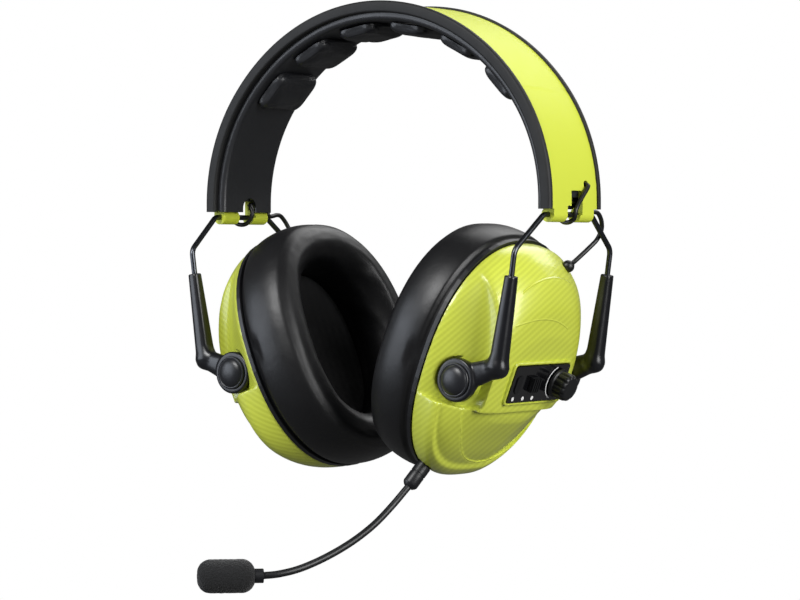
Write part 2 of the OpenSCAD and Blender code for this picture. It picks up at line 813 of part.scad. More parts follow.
// Section of the cushion: share of the way in from rim to opening, and depth from the backplate
function cushion_section() = [
    [0.04, 0], [-0.03, 0.18], [-0.05, 0.4], [-0.01, 0.66], [0.1, 0.86], [0.28, 0.98],
    [0.48, 1], [0.7, 0.93], [0.9, 0.77], [1, 0.55], [0.98, 0.26], [0.9, 0]
];

module ear_cushion() {
    steps = 44;
    section = cushion_section();
    n = len(section);
    outer = oval(cup_hw, cup_hh, cup_hh, oval_n, steps);
    inner = oval(ear_hw, ear_hh, ear_hh, oval_n, steps);
    base = -plate_w - cushion_gap;
    points = [for (i = [0 : steps - 1], q = section)
        let (p = outer[i] * (1 - q[0]) + inner[i] * q[0]) [base - q[1] * cushion_t, p[0], p[1]]];
    faces = [for (i = [0 : steps - 1], j = [0 : n - 1])
        let (i2 = (i + 1) % steps, j2 = (j + 1) % n,
            a = i * n + j, b = i * n + j2, c = i2 * n + j, d = i2 * n + j2)
        each [[a, b, d], [a, d, c]]];
    color("#1d1e22") in_cup() polyhedron(points = points, faces = faces);
}

module left_ear_cushion() {
    ear_cushion();
}

module right_ear_cushion() {
    mirror([1, 0, 0]) ear_cushion();
}

module cloth_screen() {
    inset = 0.3;
    color("#141518") in_cup() outwards(-plate_w - 0.7, 0.65)
        polygon(oval(ear_hw + 1.9 - inset, ear_hh + 1.8 - inset, ear_hh + 1.8 - inset, oval_n, 40));
}

module left_cloth_screen() {
    cloth_screen();
}

module right_cloth_screen() {
    mirror([1, 0, 0]) cloth_screen();
}

// Turns a section about the loudspeaker's axis: x is the radius, y the distance outwards
module speaker_turned() {
    in_cup() rotate([0, 90, 0]) rotate_extrude() children();
}

module speaker_basket() {
    r = speaker_d / 2;
    color("#3a3b40") speaker_turned() polygon([
        [r - 4, 0], [r, 0], [r, 1.6], [r - 2.4, 1.6], [r - 9, 6.2], [5, 6.2], [5, 5], [r - 9.6, 5], [r - 4, 1.2]
    ]);
}

module left_speaker_basket() {
    speaker_basket();
}

module right_speaker_basket() {
    mirror([1, 0, 0]) speaker_basket();
}

module speaker_magnet() {
    color(steel) speaker_turned() polygon([
        [0, magnet_w], [magnet_r, magnet_w], [magnet_r, magnet_w + magnet_t - 0.6],
        [magnet_r - 0.6, magnet_w + magnet_t], [0, magnet_w + magnet_t]
    ]);
}

module left_speaker_magnet() {
    speaker_magnet();
}

module right_speaker_magnet() {
    mirror([1, 0, 0]) speaker_magnet();
}

module speaker_cone() {
    r = speaker_d / 2 - 4.2;
    color("#2d2e33") speaker_turned() polygon([
        [r, -0.2], [r, 0.4], [r - 1.2, 0.4], [7.6, 4.4], [4, 4.7], [0, 4.7], [0, 4.2], [4, 4.2], [7.4, 3.8],
        [r - 1.6, -0.2]
    ]);
}

module left_speaker_cone() {
    speaker_cone();
}

module right_speaker_cone() {
    mirror([1, 0, 0]) speaker_cone();
}

module absorber_foam() {
    color("#3c3c40") in_cup() outwards(foam_w, foam_t)
        polygon(oval(foam_hw, foam_top, foam_low, oval_n, 36));
}

module left_absorber_foam() {
    absorber_foam();
}

module right_absorber_foam() {
    mirror([1, 0, 0]) absorber_foam();
}

// ---------- cable ends ----------

grommet_neck_r = 1.7;
grommet_w = 11.8;
grommet_s = 18.4;
grommet_v = 45.6;

// Places its children at the grommet: z points out of the shell
module in_grommet() {
    translate([grommet_w, grommet_s, grommet_v]) rotate([0, 42, 28]) children();
}

module cable_grommet() {
    color(black) in_cup() in_grommet() {
        translate([0, 0, grommet_d / 2 - 0.6]) sphere(d = grommet_d);
        translate([0, 0, -4]) cylinder(r = grommet_neck_r, h = 5);
    }
}

module left_cable_grommet() {
    cable_grommet();
}

module right_cable_grommet() {
    mirror([1, 0, 0]) cable_grommet();
}

module cup_lead() {
    color(black) cord(lead_points, cable_d);
}

module left_cup_lead() {
    cup_lead();
}

module right_cup_lead() {
    mirror([1, 0, 0]) cup_lead();
}

// ---------- controls on the left cup ----------

bushing_r = 3.6;
lens_r = 0.9;
lens_v = -6.6;
button_w = 4;
button_h = 8;
button_gap = 0.2;
button_lip = 0.5;

module lens_places() {
    for (s = [-16.8, -9.2, -2]) translate([inner_face_w - 0.4, s, lens_v]) rotate([0, 90, 0]) children();
}

module button_shape(grow, w, depth) {
    r = button_w / 2 + grow;
    half = (button_h - button_w) / 2;
    translate([w, button_s - r, -half]) cube([depth, 2 * r, 2 * half]);
    for (v = [-half, half]) translate([w, button_s, v]) rotate([0, 90, 0]) cylinder(r = r, h = depth);
}

module control_panel() {
    round = 1.5;
    hs = panel_len / 2 - round;
    hv = panel_h / 2 - round;
    color("#1a1b1f") in_cup() difference() {
        union() {
            translate([panel_w + seat_gap / 2, -panel_len / 2, -hv]) cube([panel_t, panel_len, 2 * hv]);
            translate([panel_w + seat_gap / 2, -hs, -panel_h / 2]) cube([panel_t, 2 * hs, panel_h]);
            for (s = [-hs, hs], v = [-hv, hv]) translate([panel_w + seat_gap / 2, s, v])
                rotate([0, 90, 0]) cylinder(r = round, h = panel_t);
        }
        control_holes();
    }
}

module volume_knob() {
    grip_count = 12;
    base_w = face_w + 0.5;
    color("#1d1e22") in_cup() translate([base_w, knob_s, 0]) rotate([0, 90, 0]) difference() {
        union() {
            cylinder(d = knob_d, h = 1.6);
            cylinder(d = knob_d - 1, h = knob_h - 0.8);
            cylinder(d = knob_d - 2.6, h = knob_h);
        }
        for (i = [0 : grip_count - 1]) rotate([0, 0, 360 * i / grip_count])
            translate([knob_d / 2 + 0.25, 0, 1.6]) cylinder(r = 0.9, h = knob_h);
        translate([0, 0, -1]) cylinder(r = shaft_d / 2 + seat_gap / 2, h = knob_h - 0.6);
    }
}

module volume_shaft() {
    start = board_w + board_t + 1;
    color(steel) in_cup() translate([start, knob_s, 0]) rotate([0, 90, 0])
        cylinder(d = shaft_d, h = face_w + 0.5 + knob_h - 1.8 - start);
}

module potentiometer() {
    base = board_w + board_t + seat_gap / 2;
    color("#6a6d73") in_cup() difference() {
        union() {
            translate([base, knob_s - pot_half, -pot_half])
                cube([inner_face_w - base - seat_gap, 2 * pot_half, 2 * pot_half]);
            translate([base, knob_s, 0]) rotate([0, 90, 0]) cylinder(r = bushing_r, h = face_w - base);
        }
        translate([base + 0.7, knob_s, 0]) rotate([0, 90, 0])
            cylinder(r = shaft_d / 2 + run_gap, h = far);
    }
}

module mode_switch() {
    ridge_count = 4;
    thumb_w = face_w + 0.25;
    color("#0f1012") in_cup() {
        translate([board_w + board_t + 2.2, switch_s - 1, -1.5]) cube([thumb_w + 0.5 - board_w - board_t - 2.2, 2, 3]);
        translate([thumb_w, switch_s - 3, -3.2]) cube([1.2, 6, 6.4]);
        for (i = [0 : ridge_count - 1])
            translate([thumb_w + 1, switch_s - 2.7 + i * 1.55, -3.2]) cube([1.1, 0.75, 6.4]);
    }
}

module switch_body() {
    base = board_w + board_t + seat_gap / 2;
    color("#6a6d73") in_cup() difference() {
        translate([base, switch_s - 4.2, -3.4]) cube([3.8, 8.4, 6.8]);
        translate([base + 1.6, switch_s - 1 - switch_travel - 2 * seat_gap, -1.5 - seat_gap])
            cube([8, 2 * (1 + switch_travel + 2 * seat_gap), 3 + 2 * seat_gap]);
    }
}

module push_button() {
    lip_w = inner_face_w - 0.9;
    color("#0f1012") in_cup() {
        button_shape(0, lip_w, face_w + 0.5 - lip_w);
        button_shape(button_lip, lip_w, 0.8);
    }
}

module button_switch() {
    base = board_w + board_t + seat_gap / 2;
    top = inner_face_w - 0.9 - button_travel - seat_gap;
    color("#6a6d73") in_cup() translate([base, button_s - 2.6, -3]) cube([top - base, 5.2, 6]);
}

module indicator_lenses() {
    color("#e8e8e8") in_cup() lens_places() cylinder(r = lens_r, h = face_w + 0.05 - inner_face_w + 0.4);
}

module circuit_board() {
    color("#1f5a3a") in_cup() translate([board_w, -board_len / 2, -board_h / 2])
        cube([board_t, board_len, board_h]);
}

module battery() {
    color("#7b8088") in_cup() translate([seat_gap, battery_s, battery_v]) cube([battery_t, battery_len, battery_h]);
}

module mic_socket() {
    color("#3a3b40") in_jack() difference() {
        translate([0, 0, -13]) cylinder(r = barrel_d / 2 - 0.5, h = 13 + barrel_start - seat_gap);
        translate([0, 0, -12]) cylinder(r = jack_pin_d / 2 + run_gap, h = 14);
    }
}

// ---------- boom microphone ----------

module boom_plug() {
    color("#2e2f34") in_jack() {
        translate([0, 0, barrel_start]) cylinder(d = barrel_d, h = barrel_len - 1.2);
        translate([0, 0, barrel_start + barrel_len - 1.2])
            cylinder(d1 = barrel_d, d2 = neck_d + 1.4, h = 1.2);
        translate([0, 0, -11.4]) cylinder(d = jack_pin_d, h = 12);
    }
}

// World position of a point at a distance along the socket's axis
function jack_axis(h) =
    let (v = jack_v - h * cos(jack_lean), s = jack_s - h * sin(jack_lean))
    [cup_x + jack_w * cos(cup_tilt) + v * sin(cup_tilt), s, cup_z - jack_w * sin(cup_tilt) + v * cos(cup_tilt)];

module gooseneck() {
    start = jack_axis(barrel_start + barrel_len + 1.5 * seat_gap);
    color("#26272b") rod_line(concat([start], neck_points), neck_d / 2);
}

// Places its children at the end of the gooseneck: z runs along the microphone
module in_mic() {
    translate(neck_points[len(neck_points) - 1]) rotate([0, 90, foam_turn]) children();
}

module mic_collar() {
    color("#1a1b1f") in_mic() difference() {
        translate([0, 0, -1]) cylinder(d = collar_d, h = collar_len);
        translate([0, 0, -5]) cylinder(d = neck_d + 2 * seat_gap, h = 5 + seat_gap);
    }
}

module mic_capsule() {
    color("#3a3b40") in_mic() translate([0, 0, collar_len - 1 + seat_gap / 2]) {
        cylinder(d = collar_d, h = capsule_neck);
        translate([0, 0, capsule_neck]) cylinder(d = capsule_d, h = capsule_len);
    }
}

module mic_windscreen() {
    soft = 5;
    r = foam_d / 2;
    hole = capsule_d / 2 + seat_gap;
    neck = collar_d / 2 + seat_gap;
    start = collar_len - 1.5;
    head = collar_len - 1 + capsule_neck - start;
    color("#202124") in_mic() translate([0, 0, start]) difference() {
        rotate_extrude() intersection() {
            union() {
                translate([0, soft]) square([r, foam_len - 2 * soft]);
                square([r - soft, foam_len]);
                for (h = [soft, foam_len - soft]) translate([r - soft, h]) circle(r = soft);
            }
            square([r + 1, foam_len]);
        }
        translate([0, 0, -1]) cylinder(r = neck, h = 8);
        translate([0, 0, head - seat_gap / 2]) cylinder(r = hole, h = capsule_len + 2 * seat_gap);
    }
}

headband_plate();
front_edge_moulding();
rear_edge_moulding();
band_lining();
crown_pads();
band_cable();
left_wire_yoke();
right_wire_yoke();
left_front_arm();
left_rear_arm();
left_pivot_caps();
right_front_arm();
right_rear_arm();
right_pivot_caps();
left_cup_shell();
left_backplate();
left_backplate_screws();
left_pivot_clips();
left_ear_cushion();
left_cloth_screen();
left_speaker_basket();
left_speaker_magnet();
left_speaker_cone();
left_absorber_foam();
left_cable_grommet();
left_cup_lead();
right_cup_shell();
right_backplate();
right_backplate_screws();
right_pivot_clips();
right_ear_cushion();
right_cloth_screen();
right_speaker_basket();
right_speaker_magnet();
right_speaker_cone();
right_absorber_foam();
right_cable_grommet();
right_cup_lead();
control_panel();
volume_knob();
volume_shaft();
potentiometer();
mode_switch();
switch_body();
push_button();
button_switch();
indicator_lenses();
circuit_board();
battery();
mic_socket();
boom_plug();
gooseneck();
mic_collar();
mic_capsule();
mic_windscreen();
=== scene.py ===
"""Looks of the wire-yoke headset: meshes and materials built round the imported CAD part."""

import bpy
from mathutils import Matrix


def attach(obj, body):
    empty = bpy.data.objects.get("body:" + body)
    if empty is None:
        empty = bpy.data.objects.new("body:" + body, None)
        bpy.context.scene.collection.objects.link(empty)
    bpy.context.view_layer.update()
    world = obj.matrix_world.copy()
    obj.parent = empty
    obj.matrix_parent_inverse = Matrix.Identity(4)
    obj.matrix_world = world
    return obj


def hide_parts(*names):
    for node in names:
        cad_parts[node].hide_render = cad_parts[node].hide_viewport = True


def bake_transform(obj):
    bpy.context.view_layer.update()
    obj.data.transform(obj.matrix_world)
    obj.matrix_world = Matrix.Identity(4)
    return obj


bl_info = {
    "name": "Wire-yoke headset",
    "version": (1, 0, 0),
    "blender": (4, 5, 0),
    "location": "3D View > Sidebar > Headset",
    "description": "Builds a communication headset with a sprung band, tilting cups and a boom microphone",
    "category": "Object",
}

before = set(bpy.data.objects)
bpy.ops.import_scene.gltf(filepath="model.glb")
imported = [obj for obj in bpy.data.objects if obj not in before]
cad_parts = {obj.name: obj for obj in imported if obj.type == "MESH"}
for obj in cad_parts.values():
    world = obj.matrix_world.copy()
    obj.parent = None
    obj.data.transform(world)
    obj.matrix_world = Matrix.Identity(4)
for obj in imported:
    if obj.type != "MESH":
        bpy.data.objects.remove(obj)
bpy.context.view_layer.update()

import math

import bmesh
import bpy
import numpy as np
from mathutils import Matrix, Vector, noise

MM = 0.001
SIDES = (("left", 1), ("right", -1))
FIT = 0.05  # overlap that hides a seam between two pieces, mm

# Sizes of the CAD part that the shapes follow, in mm; a cup's are in cup coordinates (out, rear, up)
# Band: half width, radius of its sides, lift of the crown, level of the sides' centre, straight tail
BAND_HALF, SIDE_R, CROWN_LIFT, BAND_Z, TAIL = 93.0, 82.0, 5.5, 60.0, 3.6
BAND_WIDTH, PLATE_T = 41.0, 2.0
# Edge moulding: depth, width, rise over the plate, groove for the plate's edge
RIM_DEPTH, RIM_WIDTH, RIM_PROUD, RIM_GROOVE = 5.2, 2.7, 1.0, 1.4
# Lining and pads: outer and inner face from the band's edge, half width, step from pad to pad in degrees
LINING_OUT, LINING_IN, LINING_HALF, PAD_STEP = -3.1, -8.6, 17.7, 18.5
# The arch is two arcs: its sides' centre, how far the crown's centre lies below it, and where they meet
ARCH_C = BAND_HALF - SIDE_R
ARCH_DROP = (ARCH_C**2 - CROWN_LIFT**2) / (2 * CROWN_LIFT)
CROWN_R = SIDE_R + CROWN_LIFT + ARCH_DROP
ARCH_SPLIT = math.atan2(ARCH_C, ARCH_DROP)
CROWN_Z = BAND_Z - ARCH_DROP
# Yoke: hinge, lean of the legs, their place, drop of legs and bend, half width at the hinge, bend radius
HINGE = np.array([88.8, 0.0, 54.0])
LEAN, LEG_Y, LEG_DROP, BEND_DROP, EXIT_Y, BEND_R = math.radians(8), 37.4, 54.5, 15.0, 18.5, 5.2
# Cup: place and tilt, then the oval's half width, half height and squareness, shell depth and wall
CUP_X, CUP_Z, CUP_TILT = 47.4, -7.0, math.radians(21.5)
CUP_HW, CUP_HH, OVAL_N, SHELL_DEPTH, WALL = 46.0, 53.5, 2.3, 27.5, 2.2
# Pivot: out, up, the shell's seat for it, then the arm's disc: place, thickness, radius
PIVOT_W, PIVOT_V, SEAT_S, DISC_Y, DISC_T, DISC_R = 14.6, -2.9, 37.4, 38.1, 4.1, 9.3
# Chin step: its level, how far out it starts and its depth; flanks: where they start and their slope
CHIN_V, CHIN_W, CHIN_STEP, FLANK_S, FLANK_SLOPE = -13.8, 13.0, 1.4, 32.0, 0.73
CUSHION_BASE, CUSHION_T, EAR_HW, EAR_HH = -2.2, 25.0, 27.0, 35.0
# Controls: places to the rear of the middle, the knob's radius, the panel's face; the row of lenses
KNOB_S, SWITCH_S, BUTTON_S, KNOB_R, FACE_W = 13.5, -5.0, -16.0, 6.5, 29.0
LENS_S, LENS_V = (-16.8, -9.2, -2.0), -6.6
JACK_S, JACK_W, JACK_LEAN = -26.5, 3.7, math.radians(35)
CABLE_Y, HOLE_Z = 9.6, 66.6
GROMMET = np.array([11.8, 18.4, 45.6])
# Lines of the gooseneck, of the free lead to the left cup and of the cable's turn at the band's left end
NECK = [(26.4, -41, -69.8), (24, -50.5, -77), (21.2, -62, -83.3), (17.4, -74.5, -88.7),
        (13, -86, -92.6), (8, -94, -94.5), (2.5, -99, -95.2)]
LEAD = [(86.4, 16.6, 56.2), (86.4, 16.6, 55.5), (86.4, 17.3, 54.8), (86.5, 18.8, 54.7), (86.7, 21.2, 55),
        (86.9, 23.8, 55.4), (87, 26.4, 55.1), (86.9, 28.6, 53.6), (86.5, 30.6, 51.2), (85.8, 31.8, 48.4),
        (85.1, 31.3, 45.8), (84.4, 29.6, 43.2), (83.2, 26.8, 40.6), (81.4, 23.8, 37.6), (79.6, 21.4, 35),
        (78.9, 20.6, 34.1), (78.1, 20.05, 33.35)]
END_ROUTE = [(86.4, 16.6, 56.2), (86.4, 16.6, 58.6), (86.6, 14.4, 59.8), (86.6, 8, 60), (86.2, 3.4, 59.8),
             (84.6, 1.6, 58.8), (83.3, 1.2, 56.6), (83.8, 0.8, 53.6), (86, 0.2, 51.2), (89.4, -0.4, 50.8),
             (92.4, -0.8, 52.4), (93.4, -0.9, 56), (93.3, 2.6, 60), (93.2, 8.4, 65.4),
             (92.4, 9.6, 66.6), (90.8, 9.6, 66.9)]


# ---------- small geometry helpers ----------

def unit(v):
    v = np.asarray(v, float)
    return v / np.linalg.norm(v)


def mm(length):
    """A length setting in mm."""
    return round(length / MM, 4)


def to_cup(points, side=1):
    """Cup coordinates (out, rear, up) to the row frame, in mm."""
    p = np.asarray(points, float)
    ct, st = math.cos(CUP_TILT), math.sin(CUP_TILT)
    return np.stack([side * (CUP_X + p[..., 0] * ct + p[..., 2] * st), p[..., 1],
                     CUP_Z - p[..., 0] * st + p[..., 2] * ct], -1)


def smooth_path(points, steps=6):
    """Catmull-Rom curve through the points."""
    p = np.asarray(points, float)
    q = np.vstack([2 * p[0] - p[1], p, 2 * p[-1] - p[-2]])
    out = []
    for i in range(1, len(q) - 2):
        for t in np.linspace(0, 1, steps, endpoint=False):
            a, b, c, d = q[i - 1:i + 3]
            out.append(0.5 * (2 * b + (c - a) * t + (2 * a - 5 * b + 4 * c - d) * t**2
                              + (3 * b - a - 3 * c + d) * t**3))
    return np.array(out + [p[-1]])


def corner_arc(a, b, c, radius, steps):
    """Points of the arc that rounds the corner b between a and c."""
    u, v = unit(a - b), unit(c - b)
    half = math.acos(float(np.clip(u @ v, -1, 1))) / 2
    centre = b + unit(u + v) * radius / math.sin(half)
    start, end = (b + leg * radius / math.tan(half) - centre for leg in (u, v))
    sweep = math.pi - 2 * half
    return [centre + (math.sin((1 - t) * sweep) * start + math.sin(t * sweep) * end) / math.sin(sweep)
            for t in np.linspace(0, 1, steps)]


def filleted(points, radius, steps):
    """The points' line with each inner corner turned into an arc."""
    p = np.asarray(points, float)
    arcs = [q for corner in zip(p, p[1:], p[2:]) for q in corner_arc(*corner, radius, steps)]
    return np.array([p[0], *arcs, p[-1]])


def rounded(corners, radii, steps=5):
    """A closed flat outline with round corners."""
    c, out = np.asarray(corners, float), []
    for i, (b, r) in enumerate(zip(c, radii)):
        out += corner_arc(c[i - 1], b, c[(i + 1) % len(c)], r, steps) if r > 0 else [b]
    return np.array(out)


def skin(rings, closed=False, caps=True):
    """Points and faces of a surface through rings of equal length; each ring is closed."""
    r = np.asarray(rings, float)
    n, m = r.shape[:2]
    at = np.arange(n * m).reshape(n, m)
    if closed:
        at = np.vstack([at, at[:1]])
    a, b = at[:-1], at[1:]
    faces = np.stack([a, np.roll(a, -1, 1), np.roll(b, -1, 1), b], -1).reshape(-1, 4).tolist()
    if caps and not closed:
        faces += [at[0][::-1].tolist(), at[-1].tolist()]
    return r.reshape(-1, 3), faces


def turned(faces, mirrored=True):
    """The faces, wound the other way round where their shape is mirrored."""
    return [f[::-1] for f in faces] if mirrored else faces


def joined(parts):
    """Several (points, faces) as one."""
    points, faces, start = [], [], 0
    for p, f in parts:
        points.append(np.asarray(p, float))
        faces += [[i + start for i in face] for face in f]
        start += len(p)
    return np.vstack(points), faces


def tube_rings(path, radius, sides):
    """Rings round a path, carried along it without twist."""
    p = np.asarray(path, float)
    t = np.gradient(p, axis=0)
    t /= np.linalg.norm(t, axis=1)[:, None]
    u = unit(np.cross(t[0], [0.3, 0.5, 0.81]))
    angles = np.linspace(0, 2 * math.pi, sides, endpoint=False)
    rings = []
    for at, along_path in zip(p, t):
        u = unit(u - (u @ along_path) * along_path)
        v = np.cross(along_path, u)
        rings.append(at + radius * (np.cos(angles)[:, None] * u + np.sin(angles)[:, None] * v))
    return np.array(rings)


def lathe_rings(profile, origin, axis, sides=64, wobble=None):
    """Rings of a (radius, height) profile turned about an axis; wobble scales the radius round the turn."""
    axis = unit(axis)
    u = unit(np.cross(axis, [0.2, 0.9, 0.37]))
    v = np.cross(axis, u)
    angles = np.linspace(0, 2 * math.pi, sides, endpoint=False)
    around = np.cos(angles)[:, None] * u + np.sin(angles)[:, None] * v
    rings = []
    for r, h in profile:
        radius = r if wobble is None else r * wobble(angles, h)
        rings.append(origin + axis * h + np.reshape(radius, (-1, 1)) * around)
    return np.array(rings)


def oval(steps, half_width, half_height, squareness):
    """A closed superellipse."""
    a = np.linspace(0, 2 * math.pi, steps, endpoint=False)
    return np.stack([half * np.sign(w) * np.abs(w) ** (2 / squareness)
                     for half, w in ((half_width, np.cos(a)), (half_height, np.sin(a)))], -1)


def level(outline, out):
    """A flat (rear, up) outline as a ring of points at one distance out."""
    return np.column_stack([np.full(len(outline), out), outline])


def sweep_arch(section):
    """Rings of a flat section (offset, rearward) swept round the band's outer edge, left end to right end."""
    section = np.asarray(section, float)
    half = [((BAND_HALF, z), (1, 0)) for z in (BAND_Z - TAIL, BAND_Z - TAIL / 2)]
    for a in np.linspace(0, math.pi / 2 - ARCH_SPLIT, 75, endpoint=False):
        n = (math.cos(a), math.sin(a))
        half.append(((ARCH_C + SIDE_R * n[0], BAND_Z + SIDE_R * n[1]), n))
    for a in np.linspace(math.pi / 2 - ARCH_SPLIT, math.pi / 2, 37, endpoint=False):
        n = (math.cos(a), math.sin(a))
        half.append(((CROWN_R * n[0], CROWN_Z + CROWN_R * n[1]), n))
    stations = half + [((0, CROWN_Z + CROWN_R), (0, 1))]
    stations += [((-p[0], p[1]), (-n[0], n[1])) for p, n in half[::-1]]
    return np.array([np.stack([px + section[:, 0] * nx, section[:, 1], pz + section[:, 0] * nz], -1)
                     for (px, pz), (nx, nz) in stations])


# ---------- solid fields and their surface ----------

def smooth_max(a, b, k):
    """The larger of two fields, blended over k mm where they meet."""
    h = np.maximum(k - np.abs(a - b), 0) / k
    return np.maximum(a, b) + h * h * k / 4


def smooth_min(a, b, k):
    return -smooth_max(-a, -b, k)


def surface(field, lo, hi, step):
    """Quads on the zero level of a field that is negative inside, relaxed and moved onto the level."""
    relax, probe, least_slope = 2, 0.05, 0.15
    lo, hi = np.asarray(lo, float), np.asarray(hi, float)
    n = np.ceil((hi - lo) / step).astype(int) + 1
    axes = [lo[i] + step * np.arange(n[i]) for i in range(3)]
    f = np.empty(tuple(n))
    for i, x in enumerate(axes[0]):
        y, z = np.meshgrid(axes[1], axes[2], indexing="ij")
        f[i] = field(np.stack([np.full(y.size, x), y.ravel(), z.ravel()], -1)).reshape(y.shape)
    inside = f < 0
    total, count = np.zeros(tuple(n - 1) + (3,)), np.zeros(tuple(n - 1))
    corner = {}
    for c in np.ndindex(2, 2, 2):
        part = tuple(slice(c[i], n[i] - 1 + c[i]) for i in range(3))
        corner[c] = (f[part], inside[part])
    for axis in range(3):
        for c in np.ndindex(2, 2, 2):
            if c[axis]:
                continue
            d = tuple(1 if i == axis else c[i] for i in range(3))
            (fa, ia), (fb, ib) = corner[c], corner[d]
            cross = ia != ib
            t = np.where(cross, fa / np.where(fa == fb, 1, fa - fb), 0)
            for i in range(3):
                total[..., i] += np.where(cross, t if i == axis else c[i], 0)
            count += cross
    cell = count > 0
    index = np.full(tuple(n - 1), -1)
    index[cell] = np.arange(cell.sum())
    points = lo + step * (np.argwhere(cell) + total[cell] / count[cell][:, None])
    quads = []
    for axis in range(3):
        b, c = (axis + 1) % 3, (axis + 2) % 3
        first, second = [slice(None)] * 3, [slice(None)] * 3
        first[axis], second[axis] = slice(0, n[axis] - 1), slice(1, n[axis])
        change = np.argwhere(inside[tuple(first)] != inside[tuple(second)])
        for i in (b, c):
            change = change[(change[:, i] > 0) & (change[:, i] < n[i] - 1)]
        around = []
        for db, dc in ((0, 0), (-1, 0), (-1, -1), (0, -1)):
            q = change.copy()
            q[:, b] += db
            q[:, c] += dc
            around.append(index[tuple(q.T)])
        quad = np.stack(around, -1)
        flip = ~inside[tuple(change.T)]
        quad[flip] = quad[flip][:, ::-1]
        quads.append(quad)
    quads = np.vstack(quads)
    edges = np.vstack([quads[:, [i, (i + 1) % 4]] for i in range(4)])
    for turn in range(relax + 1):
        if turn < relax:
            mean, hits = np.zeros_like(points), np.zeros(len(points))
            for a, b in ((0, 1), (1, 0)):
                np.add.at(mean, edges[:, a], points[edges[:, b]])
                np.add.at(hits, edges[:, a], 1)
            points = 0.5 * points + 0.5 * mean / hits[:, None]
        for _ in range(2):
            value = field(points)
            slope = np.stack([field(points + d) - field(points - d) for d in probe * np.eye(3)], -1)
            slope /= 2 * probe
            size = np.maximum((slope**2).sum(1), least_slope)
            points = points - np.clip(value / size, -step, step)[:, None] * slope
    return points, quads.tolist()


def bar(p, a, b, ra, rb, squareness):
    """Distance to a tapered bar from a to b with flat ends."""
    length = np.linalg.norm(b - a)
    t = (b - a) / length
    u = unit(np.cross(t, (0, 1, 0)))
    v = np.cross(t, u)
    q = p - a
    h = q @ t
    r = (np.abs(q @ u) ** squareness + np.abs(q @ v) ** squareness) ** (1 / squareness)
    side = r - (ra + (rb - ra) * np.clip(h / length, 0, 1))
    return smooth_max(side, np.abs(h - length / 2) - length / 2, 0.6)


def cylinder(p, origin, axis, radius, lo, hi, k=0.4):
    q = p - np.asarray(origin, float)
    axis = unit(axis)
    h = q @ axis
    r = np.linalg.norm(q - h[:, None] * axis, axis=1) - radius
    return smooth_max(r, np.maximum(lo - h, h - hi), k)


def block(p, lo, hi, k=0.3):
    lo, hi = np.asarray(lo, float), np.asarray(hi, float)
    q = np.abs(p - (lo + hi) / 2) - (hi - lo) / 2
    return smooth_max(smooth_max(q[:, 0], q[:, 1], k), q[:, 2], k)


# ---------- objects ----------

materials = {}  # by the record's slot names


def new_object(name, data):
    obj = bpy.data.objects.new(name, data)
    bpy.context.scene.collection.objects.link(obj)
    return obj


def new_mesh(name, points, faces, edges=()):
    """A mesh from points in mm."""
    mesh = bpy.data.meshes.new(name)
    mesh.from_pydata((np.asarray(points, float) * MM).tolist(), list(edges), faces)
    return mesh


def place(name, points, faces, slot, body=None, stands_for=(), sharp=38, cup=None):
    """A finished piece; cup holds the cup coordinates of each point for its pattern."""
    mesh = new_mesh(name, points, faces)
    if cup is not None:
        mesh.attributes.new("cup", "FLOAT_VECTOR", "POINT").data.foreach_set("vector", np.ravel(cup))
    mesh.materials.append(materials[slot])
    return settle(new_object(name, mesh), body, stands_for, sharp)


def settle(obj, body, stands_for, sharp):
    """Smooths a piece up to an angle, hangs it on the body it rides on and hides the CAD nodes it stands for.
    """
    obj.data.shade_smooth()
    obj.data.set_sharp_from_angle(angle=math.radians(sharp))
    if body:
        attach(obj, body)
    if stands_for:
        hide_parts(*stands_for)
    return obj


def dress(name, slot, cup=False):
    """Gives a CAD node that stays in view its material and smooth shading."""
    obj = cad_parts[name]
    obj.data.materials.clear()
    obj.data.materials.append(materials[slot])
    obj.data.shade_smooth()
    obj.data.set_sharp_from_angle(angle=math.radians(30))
    if cup:
        co = np.array([v.co for v in obj.data.vertices]) / MM
        ct, st = math.cos(CUP_TILT), math.sin(CUP_TILT)
        x, z = co[:, 0] - CUP_X, co[:, 2] - CUP_Z
        local = np.column_stack([x * ct - z * st, co[:, 1], x * st + z * ct])
        obj.data.attributes.new("cup", "FLOAT_VECTOR", "POINT").data.foreach_set("vector", local.ravel())


def evaluated(obj, name):
    """A plain mesh of obj with its modifiers applied."""
    graph = bpy.context.evaluated_depsgraph_get()
    mesh = bpy.data.meshes.new_from_object(obj.evaluated_get(graph))
    mesh.name = name
    return mesh


def cut(obj, *cutters):
    """Takes the cutters' solids out of obj."""
    for cutter in cutters:
        tool = new_object("cutter", new_mesh("cutter", *cutter))
        modifier = obj.modifiers.new("cut", "BOOLEAN")
        modifier.object, modifier.solver = tool, "EXACT"
        bpy.context.view_layer.update()
        mesh = evaluated(obj, obj.data.name)
        obj.modifiers.remove(modifier)
        obj.data = mesh
        bpy.data.objects.remove(tool)


def box_solid(lo, hi):
    (x0, y0, z0), (x1, y1, z1) = lo, hi
    return skin([[(x0, y0, z), (x1, y0, z), (x1, y1, z), (x0, y1, z)] for z in (z0, z1)])


